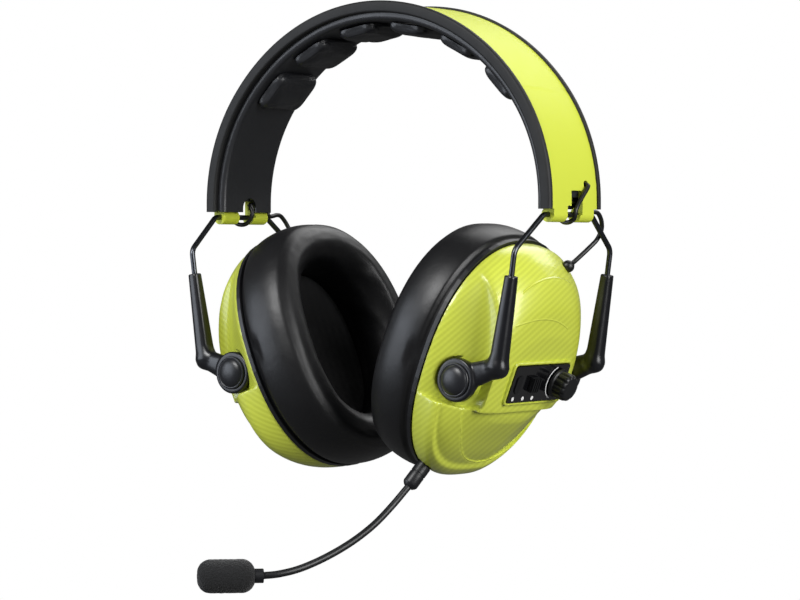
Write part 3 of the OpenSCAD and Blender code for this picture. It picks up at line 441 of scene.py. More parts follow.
def inflate(points, faces, pinned, pressure, frames, cap):
    """Blows a closed skin up as cloth; points move at most cap from where they were, in mm."""
    obj = new_object("cloth", new_mesh("cloth", points, faces))
    held = obj.vertex_groups.new(name="held")
    held.add([int(i) for i in pinned], 1.0, "REPLACE")
    cloth = obj.modifiers.new("cloth", "CLOTH")
    s = cloth.settings
    s.quality, s.mass = 8, 0.1
    s.tension_stiffness = s.compression_stiffness = 12
    s.shear_stiffness, s.bending_stiffness = 8, 0.3
    s.use_pressure, s.uniform_pressure_force = True, pressure
    s.effector_weights.gravity = 0
    s.vertex_group_mass = "held"
    s.shrink_min = -0.02
    cloth.point_cache.frame_start, cloth.point_cache.frame_end = 1, frames
    for f in range(1, frames + 1):
        bpy.context.scene.frame_set(f)
    moved = evaluated(obj, "moved")
    co = np.empty(len(moved.vertices) * 3)
    moved.vertices.foreach_get("co", co)
    shift = co.reshape(-1, 3) / MM - points
    length = np.maximum(np.linalg.norm(shift, axis=1), 1e-6)
    bpy.data.objects.remove(obj)
    bpy.context.scene.frame_set(1)
    return points + shift * (np.minimum(length, cap) / length)[:, None]


def tube_group():
    """Geometry Nodes group: a tube round a line of edges."""
    group = bpy.data.node_groups.get("Tube") or bpy.data.node_groups.new("Tube", "GeometryNodeTree")
    if group.nodes:
        return group
    for name, kind in (("Geometry", "Geometry"), ("Radius", "Float"), ("Sides", "Int"),
                       ("Material", "Material")):
        group.interface.new_socket(name, in_out="INPUT", socket_type="NodeSocket" + kind)
    group.interface.new_socket("Geometry", in_out="OUTPUT", socket_type="NodeSocketGeometry")
    given = node(group, "NodeGroupInput")
    line = node(group, "GeometryNodeMeshToCurve", links={"Mesh": (given, "Geometry")})
    ring = node(group, "GeometryNodeCurvePrimitiveCircle",
                links={"Radius": (given, "Radius"), "Resolution": (given, "Sides")})
    wall = node(group, "GeometryNodeCurveToMesh", {"Fill Caps": True},
                {"Curve": (line, "Curve"), "Profile Curve": (ring, "Curve")})
    real = node(group, "GeometryNodeRealizeInstances", links={"Geometry": (wall, "Mesh")})
    paint = node(group, "GeometryNodeSetMaterial",
                 links={"Geometry": (real, "Geometry"), "Material": (given, "Material")})
    node(group, "NodeGroupOutput", links={"Geometry": (paint, "Geometry")})
    return group


def tube(name, path, radius, sides, slot, body, stands_for):
    """A round rod or cord along a path, made by the Tube group."""
    edges = [(i, i + 1) for i in range(len(path) - 1)]
    obj = new_object(name, new_mesh(name + "_line", path, [], edges))
    modifier = obj.modifiers.new("tube", "NODES")
    modifier.node_group = tube_group()
    ids = {i.name: i.identifier for i in modifier.node_group.interface.items_tree if i.in_out == "INPUT"}
    for socket, value in (("Radius", radius * MM), ("Sides", sides), ("Material", materials[slot])):
        modifier[ids[socket]] = value
    bpy.context.view_layer.update()
    mesh = evaluated(obj, name)
    obj.modifiers.remove(modifier)
    obj.data = mesh
    return settle(obj, body, stands_for, 50)


# ---------- materials ----------

def linear(colour):
    """An sRGB hex colour as linear RGBA; a linear colour stays as it is."""
    if not isinstance(colour, str):
        return (*colour, 1)
    parts = [int(colour[i:i + 2], 16) / 255 for i in (1, 3, 5)]
    return (*(c / 12.92 if c <= 0.04045 else ((c + 0.055) / 1.055) ** 2.4 for c in parts), 1)


def node(tree, kind, values=None, links=None):
    """Adds a node, sets its inputs and settings, and links its inputs from (node, output) pairs."""
    new = tree.nodes.new(kind)
    for key, value in (values or {}).items():
        if isinstance(key, str) and key.islower():
            setattr(new, key, value)
        else:
            new.inputs[key].default_value = value
    for key, (other, output) in (links or {}).items():
        tree.links.new(other.outputs[output], new.inputs[key])
    return new


def base_material(name, colour, rough, **values):
    """A material with a Principled shader; returns it with its tree, shader and place on the object."""
    material = bpy.data.materials.new(name)
    material.use_nodes = True
    tree = material.node_tree
    shader = tree.nodes["Principled BSDF"]
    for key, value in {"Base Color": linear(colour), "Roughness": rough, **values}.items():
        shader.inputs[key.replace("_", " ")].default_value = value
    return material, tree, shader, (node(tree, "ShaderNodeTexCoord"), "Object")


def finish(tree, shader, at, colours=None, reliefs=(), mottle=None):
    """Wires a shader: colours (a, b, factor), reliefs (height, strength, depth in mm) one on another, and
    a mottled roughness (spot size in mm, from, to)."""
    if colours:
        a, b, factor = colours
        mix = node(tree, "ShaderNodeMix", {"data_type": "RGBA", 6: linear(a), 7: linear(b)}, {0: factor})
        tree.links.new(mix.outputs[2], shader.inputs["Base Color"])
    under = {}
    for height, strength, depth in reliefs:
        raised = node(tree, "ShaderNodeBump", {"Strength": strength, "Distance": depth * MM},
                      {"Height": height, **under})
        under = {"Normal": (raised, "Normal")}
    if under:
        tree.links.new(raised.outputs["Normal"], shader.inputs["Normal"])
        tree.links.new(raised.outputs["Normal"], shader.inputs["Coat Normal"])
    if mottle:
        size, low, high = mottle
        spots = node(tree, "ShaderNodeTexNoise", {"Scale": 1000 / size, "Detail": 4.0}, {"Vector": at})
        spread = node(tree, "ShaderNodeMapRange", {"To Min": low, "To Max": high}, {"Value": (spots, "Fac")})
        tree.links.new(spread.outputs["Result"], shader.inputs["Roughness"])


def moulded(name, colour, rough, grain_mm, strength):
    """Moulded plastic or rubber with a fine spark-eroded grain."""
    material, tree, shader, at = base_material(name, colour, rough)
    grain = node(tree, "ShaderNodeTexNoise", {"Scale": 1000 / grain_mm, "Detail": 3.0}, {"Vector": at})
    finish(tree, shader, at, reliefs=[((grain, "Fac"), strength, 0.05)],
           mottle=(6, max(rough - 0.05, 0.02), min(rough + 0.05, 1)))
    return material


def metal(name, colour, rough):
    """Drawn or pressed metal with marks a quarter of a millimetre wide."""
    material, tree, shader, at = base_material(name, colour, rough, Metallic=1.0)
    marks = node(tree, "ShaderNodeTexNoise", {"Scale": 1000 / 0.25, "Detail": 2.0}, {"Vector": at})
    finish(tree, shader, at, reliefs=[((marks, "Fac"), 0.08, 0.02)], mottle=(3, rough - 0.06, rough + 0.08))
    return material


def leatherette(name, colour, rough):
    """Soft coated cloth: a 0.9 mm pebbled grain with shallow folds over it."""
    material, tree, shader, at = base_material(name, colour, rough)
    pebbles = node(tree, "ShaderNodeTexVoronoi", {"Scale": 1000 / 0.9, "feature": "SMOOTH_F1"},
                   {"Vector": at})
    folds = node(tree, "ShaderNodeTexNoise", {"Scale": 1000 / 9, "Detail": 5.0, "Distortion": 0.6},
                 {"Vector": at})
    finish(tree, shader, at, reliefs=[((pebbles, "Distance"), 0.22, 0.06), ((folds, "Fac"), 0.3, 0.5)],
           mottle=(12, rough - 0.07, rough + 0.08))
    return material


def open_foam(name, colour, cell_mm, depth_mm):
    """Open-cell foam: rough, with shade painted into its small cells."""
    material, tree, shader, at = base_material(name, colour, 0.95, Sheen_Weight=0.15)
    cells = node(tree, "ShaderNodeTexVoronoi", {"Scale": 1000 / cell_mm}, {"Vector": at})
    fine = node(tree, "ShaderNodeTexNoise", {"Scale": 1000 / (cell_mm * 0.5), "Detail": 4.0}, {"Vector": at})
    height = node(tree, "ShaderNodeMath", {"operation": "ADD"}, {0: (cells, "Distance"), 1: (fine, "Fac")})
    # the cells' hollows are painted near-black: painted shade in the foam's pits
    finish(tree, shader, at, ("#0b0b0c", colour, (cells, "Distance")), [((height, "Value"), 0.9, depth_mm)])
    return material


def woven(name, colour, pitch_mm):
    """Fine plain-woven cloth, threads one way and the other."""
    material, tree, shader, at = base_material(name, colour, 0.85, Sheen_Weight=0.2)
    one, two = (node(tree, "ShaderNodeTexWave", {"Scale": 1000 / pitch_mm / 20, "bands_direction": way},
                     {"Vector": at}) for way in "YZ")
    both = node(tree, "ShaderNodeMath", {"operation": "MULTIPLY"}, {0: (one, "Fac"), 1: (two, "Fac")})
    finish(tree, shader, at, reliefs=[((both, "Value"), 0.6, 0.15)])
    return material


def along(tree, attribute, direction, period_mm):
    """How far along a direction the cup coordinates lie, in periods."""
    dot = node(tree, "ShaderNodeVectorMath", {"operation": "DOT_PRODUCT", 1: direction},
               {0: (attribute, "Vector")})
    return node(tree, "ShaderNodeMath", {"operation": "MULTIPLY", 1: 1 / period_mm}, {0: (dot, "Value")})


def wave(tree, periods):
    """A sine of the periods, from 0 to 1."""
    turn = node(tree, "ShaderNodeMath", {"operation": "MULTIPLY", 1: 2 * math.pi}, {0: (periods, "Value")})
    sine = node(tree, "ShaderNodeMath", {"operation": "SINE"}, {0: (turn, "Value")})
    return node(tree, "ShaderNodeMath", {"operation": "MULTIPLY_ADD", 1: 0.5, 2: 0.5}, {0: (sine, "Value")})


# Raised arcs on the shells' outer side, painted in the light thread colour as a painted highlight along each
# ridge: centre, radius, width, front and rear end, and the level above which (below which, where it is
# negative) they run, in mm; then their strength
SHELL_LINES = (((0.8, 7.4), 37, 0.42, -20, 14, 20, 1.0), ((-7.5, -16.5), 45, 0.5, -25, 12, 15, 0.7),
               ((1.5, -3.5), 40, 0.45, -35, 20, -17, 1.0))


def arc_line(tree, at, centre, radius, width, front, rear, height):
    """Mask of one raised arc on the shell, which sets both its relief and the highlight painted along it."""
    parts = node(tree, "ShaderNodeSeparateXYZ", links={"Vector": (at, "Vector")})
    flat = node(tree, "ShaderNodeCombineXYZ", links={"X": (parts, "Y"), "Y": (parts, "Z")})
    reach = node(tree, "ShaderNodeVectorMath", {"operation": "DISTANCE", 1: (*centre, 0)},
                 {0: (flat, "Vector")})
    off = node(tree, "ShaderNodeMath", {"operation": "SUBTRACT", 1: radius}, {0: (reach, "Value")})
    near = node(tree, "ShaderNodeMath", {"operation": "ABSOLUTE"}, {0: (off, "Value")})
    line = node(tree, "ShaderNodeMapRange", {"interpolation_type": "SMOOTHSTEP", "From Max": width,
                                             "To Min": 1.0, "To Max": 0.0}, {"Value": (near, "Value")})
    mask = (line, "Result")
    more, less = "GREATER_THAN", "LESS_THAN"
    for kind, axis, limit in ((more, "X", 8.0), (more, "Y", front), (less, "Y", rear),
                              (more if height > 0 else less, "Z", height)):
        test = node(tree, "ShaderNodeMath", {"operation": kind, 1: limit}, {0: (parts, axis)})
        both = node(tree, "ShaderNodeMath", {"operation": "MULTIPLY"}, {0: mask, 1: (test, "Value")})
        mask = (both, "Value")
    return mask


def twill_lacquer(name, light, dark, pitch_mm):
    """A woven twill under clear lacquer: slanting ribs that break up into single threads."""
    material, tree, shader, place_on = base_material(name, light, 0.4, Coat_Weight=0.7, Coat_Roughness=0.19)
    at = node(tree, "ShaderNodeAttribute", {"attribute_name": "cup"})
    drift = node(tree, "ShaderNodeTexNoise", {"Scale": 0.08, "Detail": 2.0}, {"Vector": (at, "Vector")})
    ribs = along(tree, at, (-0.7645, -0.378, 0.5221), pitch_mm)
    bent = node(tree, "ShaderNodeMath", {"operation": "MULTIPLY_ADD", 1: 0.35},
                {0: (drift, "Fac"), 2: (ribs, "Value")})
    threads = wave(tree, along(tree, at, (0.12, -0.72, -0.68), 0.75 * pitch_mm))
    cross = node(tree, "ShaderNodeMath", {"operation": "MULTIPLY", 1: 0.12}, {0: (threads, "Value")})
    weave = node(tree, "ShaderNodeMath", {"operation": "MULTIPLY_ADD", 1: 0.88},
                 {0: (wave(tree, bent), "Value"), 2: (cross, "Value")})
    ridges_and_highlight = None
    for *line, strength in SHELL_LINES:
        mask = arc_line(tree, at, *line)
        raised = node(tree, "ShaderNodeMath", {"operation": "MULTIPLY", 1: strength}, {0: mask})
        ridges_and_highlight = raised if ridges_and_highlight is None else node(tree, "ShaderNodeMath", {"operation": "MAXIMUM"},
                                                  {0: (ridges_and_highlight, "Value"), 1: (raised, "Value")})
    # the arcs are painted in the light thread colour: a painted highlight along their ridges
    shade = node(tree, "ShaderNodeMath", {"operation": "MULTIPLY_ADD", 1: 0.9},
                 {0: (ridges_and_highlight, "Value"), 2: (weave, "Value")})
    finish(tree, shader, place_on, (dark, light, (shade, "Value")),
           [((weave, "Value"), 0.2, 0.06), ((ridges_and_highlight, "Value"), 1.0, 0.3)])
    return material


def panel_gloss(name):
    """Glossy black panel with a printed volume arc beside the knob."""
    black, print_r, print_w, print_front = "#0b0b0d", 7.4, 0.3, -2.4
    material, tree, shader, place_on = base_material(name, black, 0.12, Coat_Weight=0.5, Coat_Roughness=0.05)
    at = node(tree, "ShaderNodeAttribute", {"attribute_name": "cup"})
    parts = node(tree, "ShaderNodeSeparateXYZ", links={"Vector": (at, "Vector")})
    rear = node(tree, "ShaderNodeMath", {"operation": "SUBTRACT", 1: KNOB_S}, {0: (parts, "Y")})
    flat = node(tree, "ShaderNodeCombineXYZ", links={"X": (rear, "Value"), "Y": (parts, "Z")})
    radius = node(tree, "ShaderNodeVectorMath", {"operation": "LENGTH"}, {0: (flat, "Vector")})
    ring = node(tree, "ShaderNodeMath", {"operation": "COMPARE", 1: print_r, 2: print_w},
                {0: (radius, "Value")})
    front = node(tree, "ShaderNodeMath", {"operation": "LESS_THAN", 1: print_front}, {0: (rear, "Value")})
    mask = node(tree, "ShaderNodeMath", {"operation": "MULTIPLY"}, {0: (ring, "Value"), 1: (front, "Value")})
    finish(tree, shader, place_on, (black, "#e6e6e6", (mask, "Value")), mottle=(8, 0.09, 0.16))
    return material


# Slot, name, colour, roughness, size of the grain in mm and its strength
MOULDINGS = (
    ("edge_rubber", "edge_moulding_black", "#08090a", 0.62, 0.4, 0.12),  # rubber: dull, deep black
    ("cable_rubber", "cable_jacket", "#0e0f10", 0.4, 0.3, 0.08),  # extruded vinyl: smooth, soft shine
    ("arm_plastic", "satin_arm_plastic", "#101115", 0.3, 0.3, 0.1),  # nylon: satin, long highlights
    ("cap_plastic", "satin_cap_plastic", "#1a1b1f", 0.34, 0.3, 0.08),  # nylon: a shade paler on the domes
    ("black_plastic", "backplate_plastic", "#121316", 0.4, 0.35, 0.12),  # ABS: plain black, fine grain
    ("cone_paper", "cone_film", "#26272a", 0.5, 0.2, 0.05),  # pressed film: dark grey, even
    ("knob_rubber", "knob_rubber", "#0e0f11", 0.42, 0.3, 0.1),  # coated ABS: matte flanks of the flutes
    ("lens", "white_lens", "#f2f2f0", 0.3, 0.3, 0.02),  # clear-over-white acrylic: bright dots
    ("board", "circuit_board_green", "#1f5a3a", 0.35, 0.6, 0.05),  # solder mask: green, half gloss
    ("cell", "battery_wrap", "#6f747c", 0.3, 0.6, 0.03),  # shrunk film: grey, smooth
    ("neck_jacket", "gooseneck_jacket", "#131416", 0.4, 0.25, 0.1),  # shrunk sleeve: black, soft shine
)
# Slot, name, linear colour, roughness
METALS = (
    ("wire_steel", "blackened_spring_wire", (0.075, 0.08, 0.09), 0.28),  # black oxide: dark, thin highlights
    ("steel", "plated_steel", (0.45, 0.45, 0.46), 0.3),  # zinc plating: pale, slightly dull
    ("metal_can", "tinned_can", (0.5, 0.5, 0.5), 0.35),  # tin: pale and soft
    ("capsule_metal", "capsule_metal", (0.3, 0.3, 0.31), 0.3),  # drawn aluminium in shade
)


def make_materials(s):
    """Every material of the headset, by the record's slot names."""
    for slot, *values in MOULDINGS:
        materials[slot] = moulded(*values)
    for slot, *values in METALS:
        materials[slot] = metal(*values)
    # Soft-touch coat: matte, even colour over the whole band
    materials["spring_skin"] = moulded("soft_touch_yellow", s.band_colour, 0.55, 0.5, 0.1)
    # Coated cloth: small soft glints on the pads and broad ones on the cushions
    materials["pad_leather"] = leatherette("pad_leatherette", "#27282b", 0.36)
    materials["cushion_leather"] = leatherette("cushion_leatherette", s.cushion_colour, 0.4)
    # Lacquered weave: coarser than real cloth of 3k tow would be, so that its ribs show
    materials["shell_finish"] = twill_lacquer("lacquered_twill", s.shell_colour, s.shell_shade,
                                              mm(s.weave_pitch))
    materials["screen_cloth"] = woven("acoustic_cloth", "#101113", 0.8)  # black, no shine
    materials["foam"] = open_foam("absorber_foam_grey", "#3b3c40", 1.2, 0.4)  # grey, with painted shade in its cells
    materials["windscreen_foam"] = open_foam("windscreen_foam_black", "#121315", 0.8, 0.35)  # black, finer
    materials["panel_gloss"] = panel_gloss("panel_gloss_black")  # polished acrylic: mirror-like black


# ---------- band ----------

def build_band():
    outer, inner = BAND_WIDTH / 2, BAND_WIDTH / 2 - RIM_WIDTH
    top, low = -RIM_PROUD + FIT, -RIM_PROUD - PLATE_T - FIT
    corners = [(-RIM_DEPTH, inner), (-RIM_DEPTH, outer), (0, outer), (0, inner),
               (top, inner), (top, inner + RIM_GROOVE), (low, inner + RIM_GROOVE), (low, inner)]
    points, faces = skin(sweep_arch(rounded(corners, [0.4, 1.1, 1.2, 0.45, 0, 0, 0, 0])))
    place("front_edge", points * [1, -1, 1], turned(faces), "edge_rubber", "headband",
          ["front_edge_moulding"])
    place("rear_edge", points, faces, "edge_rubber", "headband", ["rear_edge_moulding"])
    # The plate is a joined copy of the CAD node, so that its two arcs shade as one
    plate = bmesh.new()
    plate.from_mesh(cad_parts["headband_plate"].data)
    bmesh.ops.remove_doubles(plate, verts=plate.verts, dist=0.002 * MM)
    points = np.array([v.co for v in plate.verts]) / MM
    faces = [[v.index for v in f.verts] for f in plate.faces]
    plate.free()
    place("spring_plate", points, faces, "spring_skin", "headband", ["headband_plate"], 30)


def build_lining():
    """The foam lining, with room for the knuckles, the yoke's swing and the cable at each end."""
    corners = [(LINING_IN, -LINING_HALF), (LINING_IN, LINING_HALF),
               (LINING_OUT, LINING_HALF), (LINING_OUT, -LINING_HALF)]
    points, faces = skin(sweep_arch(rounded(corners, [2.2, 2.2, 0.3, 0.3], 8)))
    lining = new_object("foam_lining", new_mesh("foam_lining", points, faces))
    lining.data.materials.append(materials["pad_leather"])
    cutters = []
    low, wall, past = BAND_Z - TAIL - 1, BAND_HALF + LINING_IN + 0.9, 130
    for _, m in SIDES:
        parts = [box_solid((wall, -4, low), (past, 21, low + 6)),
                 box_solid((wall, CABLE_Y - 1.5, low), (past, CABLE_Y + 1.5, HOLE_Z + 1.5)),
                 box_solid((wall - 5, -4, low - 1), (wall + 1, 5.6, low + 2.6)),
                 box_solid((HINGE[0], -60, low - 1), (past, 60, low + 4.8))]
        cutters += [(np.asarray(p) * [m, 1, 1], turned(f, m < 0)) for p, f in parts]
        turn, swing = np.array([m * wall, 0.8, low + 2.6]), HINGE * [m, 0, 1] - [0, 60, 0]
        cutters.append(skin(lathe_rings([(4.8, -6), (4.8, 1.5)], turn, (m, 0, 0), 40)))
        cutters.append(skin(lathe_rings([(3.3, 0), (3.3, 120)], swing, (0, 1, 0), 40)))
    cut(lining, *cutters)
    settle(lining, "headband", ["band_lining"], 50)


def pad_skin(height):
    """Points and faces of one pad, flat below: x along the band, y to the rear, z towards the head."""
    steps, rows = 72, 16
    outline = oval(steps, 10.2, 14.0, 5.5)
    rings = [np.column_stack([outline * f, np.zeros(steps)]) for f in (0.35, 0.7, 0.94)]
    for a in np.linspace(0, math.pi / 2, rows, endpoint=False):
        rise = 0.15 + height * math.sin(a) ** 0.8
        rings.append(np.column_stack([outline * math.cos(a) ** 0.42, np.full(steps, rise)]))
    return skin(rings[::-1])


def build_pads(s):
    """Six pads along the crown, each on the flat that the lining has under it."""
    points, faces = pad_skin(mm(s.pad_height))
    points = inflate(points, faces, np.where(points[:, 2] < 0.6)[0], 5.0, 12, 0.5)
    points[:, 2] = np.clip(points[:, 2], 0, mm(s.pad_height) + 0.45)
    base = math.sqrt((CROWN_R + LINING_IN - 0.1) ** 2 - 11**2)
    parts = []
    for i in range(6):
        a = math.radians(PAD_STEP * (i - 2.5))
        n, t = np.array([math.sin(a), 0, math.cos(a)]), np.array([math.cos(a), 0, -math.sin(a)])
        parts.append((np.array([0, 0, CROWN_Z]) + (base - points[:, 2:3]) * n + points[:, 0:1] * t
                      + points[:, 1:2] * [0, 1, 0], turned(faces)))
    pads = place("crown_pad_set", *joined(parts), "pad_leather", "headband", ["crown_pads"], 60)


# ---------- yokes and arms ----------

def build_yokes(s):
    path = filleted([(0, -LEG_Y, -LEG_DROP), (0, -LEG_Y, -BEND_DROP), (0, -EXIT_Y, 0), (0, EXIT_Y, 0),
                     (0, LEG_Y, -BEND_DROP), (0, LEG_Y, -LEG_DROP)], BEND_R, 10)
    for name, m in SIDES:
        world = np.column_stack([m * (HINGE[0] + path[:, 2] * math.sin(LEAN)), path[:, 1],
                                 HINGE[2] + path[:, 2] * math.cos(LEAN)])
        tube(name + "_yoke_wire", world, mm(s.wire_thickness) / 2, 24, "wire_steel", name + "_yoke",
             [name + "_wire_yoke"])


def arm_places():
    """Elbow, top of the arm and pivot centre of the left rear arm."""
    down = lambda d, inset=0.0: np.array([HINGE[0] - d * math.sin(LEAN) - inset * math.cos(LEAN), LEG_Y,
                                          HINGE[2] - d * math.cos(LEAN) + inset * math.sin(LEAN)])
    return down(64.2, 1.2), down(25.8), to_cup([PIVOT_W, 0, PIVOT_V])


def arm_field(p):
    """The left rear arm: a sleeve on the wire, an elbow, a flattening limb, the pivot disc and its pin."""
    elbow, top, pivot = arm_places()
    bore_r, bore_depth, rearward = 1.28, 63.5, (0, 1, 0)
    hub = (pivot[0], DISC_Y, pivot[2])
    body = smooth_min(bar(p, elbow, top, 3.9, 2.6, 2.7), np.linalg.norm(p - elbow, axis=1) - 4.2, 1.0)
    run = np.array([pivot[0], DISC_Y + 1.9, pivot[2]]) - elbow
    t = np.clip((p - elbow) @ run / (run @ run), 0, 1)
    q = p - (elbow + t[:, None] * run)
    across = unit(np.cross(run, rearward))
    rest = q - (q @ across)[:, None] * across
    wide, thick = 4.25 + 2.0 * t**1.3, 3.3 - 1.4 * t
    limb = ((np.abs(q @ across) / wide) ** 2.6 + (np.linalg.norm(rest, axis=1) / thick) ** 2.6) ** (1 / 2.6)
    body = smooth_min(body, (limb - 1) * np.minimum(wide, thick), 2.4)
    body = smooth_max(body, -cylinder(p, hub, rearward, 8.3, -8, 0, 0.3), 0.4)
    disc = cylinder(p, hub, rearward, DISC_R, 0, DISC_T, 1.0)
    collar = cylinder(p, hub, rearward, 8.1, 0, DISC_T, 0.6)
    body = smooth_min(body, np.minimum(disc, collar), 0.8)
    axle = (pivot[0], 0, pivot[2])
    groove = np.maximum(-cylinder(p, axle, rearward, 2.3, 20, 50, 0.1),
                        cylinder(p, axle, rearward, 4.2, 33.15, 34.35, 0.1))
    body = np.minimum(body, np.maximum(cylinder(p, axle, rearward, 3.0, 31.95, DISC_Y + 1, 0.3), -groove))
    bottom = HINGE + np.array([-bore_depth * math.sin(LEAN), LEG_Y, -bore_depth * math.cos(LEAN)])
    bore = cylinder(p, bottom, (math.sin(LEAN), 0, math.cos(LEAN)), bore_r, 0, bore_depth, 0.2)
    return smooth_max(body, -bore, 0.25)


def cap_skin():
    """A domed pivot cap with a groove round it."""
    profile = [(0.01, 0), (6.6, 0), (7.2, 0.15), (7.3, 0.5), (7.1, 0.8), (6.75, 0.9), (6.6, 0.78),
               (6.35, 0.78), (6.2, 0.95), (5.9, 1.3), (5.0, 1.85), (3.6, 2.28), (1.9, 2.52), (0.6, 2.59),
               (0.01, 2.6)]
    pivot = arm_places()[2]
    return skin(lathe_rings(profile, np.array([pivot[0], DISC_Y + DISC_T + FIT, pivot[2]]), (0, 1, 0), 72))


def build_arms():
    elbow, top, pivot = arm_places()
    lo = [min(elbow[0], pivot[0]) - 11, 31.0, min(elbow[2], pivot[2]) - 11]
    hi = [max(elbow[0], top[0]) + 6, 43.2, top[2] + 2]
    points, faces = surface(arm_field, lo, hi, 0.5)
    cap, cap_faces = cap_skin()
    for name, m in SIDES:
        for end, e in (("rear", 1), ("front", -1)):
            place(f"{name}_{end}_slide_arm", points * [m, e, 1], turned(faces, m * e < 0), "arm_plastic",
                  name + "_arms", [f"{name}_{end}_arm"], 45)
        caps = [(cap * [m, e, 1], turned(cap_faces, m * e < 0)) for e in (1, -1)]
        place(name + "_pivot_cap_pair", *joined(caps), "cap_plastic", name + "_arms",
              [name + "_pivot_caps"], 40)


# ---------- cups ----------

LEVELS = np.array([
    # out, front, rear, top, bottom
    [-6, 46, 46, 52.8, 53.5], [0, 46, 46, 52.8, 53.5], [6, 46, 46, 52.6, 52.5],
    [11, 46.3, 43, 50.1, 48.9], [16.5, 44, 39, 46.5, 41.2], [21.5, 39, 33.8, 41.5, 31.9],
    [25.5, 34, 29.4, 33, 24.4], [27.5, 27.5, 25.7, 22, 19.8], [32, 8, 12, 4, 4]])
# The same levels as smooth tables of (out, front, rear) and (out, top, bottom)
LEVEL_WIDTHS, LEVEL_HEIGHTS = smooth_path(LEVELS[:, [0, 1, 2]], 12), smooth_path(LEVELS[:, [0, 3, 4]], 12)
# Squareness that the dome's quarters grow to: front top, front low, rear top, rear low
FRONT_TOP_N, FRONT_LOW_N, REAR_TOP_N, REAR_LOW_N = 1.95, 3.4, 2.5, 1.75


def quarter_share(out):
    """How far a dome's quarter has gone from the rim's squareness to its own."""
    return np.minimum(1, 1.6 * np.maximum(out, 0) / SHELL_DEPTH)


def dome_field(p, inset=0.0, flank=False):
    """The outside of the dome: an oval whose four quarters differ and grow their own squareness."""
    w, q, v = p.T
    at = np.minimum(np.maximum(w, 0), 40) * (SHELL_DEPTH / (SHELL_DEPTH - inset))
    front, rear = (np.interp(at, LEVEL_WIDTHS[:, 0], LEVEL_WIDTHS[:, i]) for i in (1, 2))
    up, down = (np.interp(at, LEVEL_HEIGHTS[:, 0], LEVEL_HEIGHTS[:, i]) for i in (1, 2))
    back, above = (0.5 + 0.5 * np.tanh(x / 6) for x in (q, v))
    own = ((1 - back) * (above * FRONT_TOP_N + (1 - above) * FRONT_LOW_N)
           + back * (above * REAR_TOP_N + (1 - above) * REAR_LOW_N))
    n = OVAL_N + quarter_share(w) * (own - OVAL_N)
    hw = np.where(q < 0, front, rear) - inset
    hh = np.where(v > 0, up, down) - inset
    if flank:
        hw = np.full_like(hw, CUP_HW + 1) - FLANK_SLOPE * w - inset
        hh = hh + 2
    hw, hh = np.maximum(hw, 1), np.maximum(hh, 1)
    ratio = np.maximum((np.abs(q) / hw) ** n + (np.abs(v) / hh) ** n, 1e-9) ** (1 / n)
    reach = np.maximum(np.hypot(q, v), 1)
    return reach * (1 - 1 / np.maximum(ratio, 1e-3)) * 0.8


def shell_solid(p, inset):
    """The closed form of the shell, drawn in by the wall for its hollow."""
    w, q, v = p.T
    dome = smooth_max(dome_field(p, inset), w - (SHELL_DEPTH - inset), 1.6)
    side = np.abs(q) - (FLANK_S - inset)
    allowed = smooth_min(smooth_min(side, v - (CHIN_V - inset), 3.5), dome_field(p, inset, True), 1.0)
    body = smooth_max(dome, allowed, 0.9)
    for depth, outside in ((CHIN_STEP, w - CHIN_W), (CHIN_STEP + 0.7, 40 - np.hypot(q - 1.5, v + 3.5))):
        sunk = smooth_max(dome_field(p, depth + inset), w - (SHELL_DEPTH - depth - inset), 1.6)
        kept = smooth_min(outside + inset, CHIN_V + inset - v, 0.5)
        body = smooth_max(body, smooth_min(kept, sunk, 0.8), 0.7)
    return body


def at_pivot(p, radius, lo, hi, k=0.4):
    """A cylinder on the pivot's axis, in front and behind alike."""
    folded = np.column_stack([p[:, 0], np.abs(p[:, 1]), p[:, 2]])
    return cylinder(folded, (PIVOT_W, 0, PIVOT_V), (0, 1, 0), radius, lo, hi, k)


def jack_place():
    """Centre and axis of the microphone socket on the left shell."""
    n = OVAL_N + quarter_share(JACK_W) * (FRONT_LOW_N - OVAL_N)
    v = -(CUP_HH - JACK_W / 6) * (1 - (abs(JACK_S) / CUP_HW) ** n) ** (1 / n)
    return np.array([JACK_W, JACK_S, v]), np.array([0, -math.sin(JACK_LEAN), -math.cos(JACK_LEAN)])


def grommet_axis():
    a, b = math.radians(42), math.radians(28)
    return np.array([math.sin(a) * math.cos(b), math.sin(a) * math.sin(b), math.cos(a)])


def shell_field(p, controls):
    """A shell with its hollow, pivot seats, screw posts, cable hole and, on the left, the controls' holes."""
    body = smooth_min(shell_solid(p, 0), at_pivot(p, 7.6, SEAT_S - 5, SEAT_S, 0.5), 0.6)
    screws = np.full(len(p), 1e3)
    for q in (-31, 31):
        for v in (-33, 33):
            screws = np.minimum(screws, np.hypot(p[:, 1] - q, p[:, 2] - v))
    hollow = np.maximum(shell_solid(p, WALL), -at_pivot(p, 11.6, SEAT_S - 3, 60))
    body = smooth_max(body, -np.maximum(hollow, 3.2 - screws), 0.4)
    body = smooth_max(body, -at_pivot(p, 10.0, SEAT_S, 60, 0.3), 0.5)
    holes = [at_pivot(p, 3.1, 20, 60), at_pivot(p, 5.2, 31.8, SEAT_S - 3),
             np.maximum(screws - 1.3, p[:, 0] - 8), cylinder(p, GROMMET, grommet_axis(), 1.9, -9, 3, 0.1),
             np.linalg.norm(p - (GROMMET + 2.1 * grommet_axis()), axis=1) - 2.85]
    if controls:
        inner, past, out = SHELL_DEPTH - WALL - 1, 40, (1, 0, 0)
        holes += [cylinder(p, (inner, KNOB_S, 0), out, 3.8, 0, 8),
                  block(p, (inner, SWITCH_S - 3.6, -2.1), (past, SWITCH_S + 3.6, 2.1)),
                  block(p, (inner, BUTTON_S - 2.3, -4.3), (past, BUTTON_S + 2.3, 4.3), 0.1),
                  cylinder(p, *jack_place(), 3.15, -4, 4)]
        holes += [cylinder(p, (inner, q, LENS_V), out, 1.1, 0, 8) for q in LENS_S]
    for hole in holes:
        body = np.maximum(body, -hole)
    return smooth_max(body, -p[:, 0], 0.8)


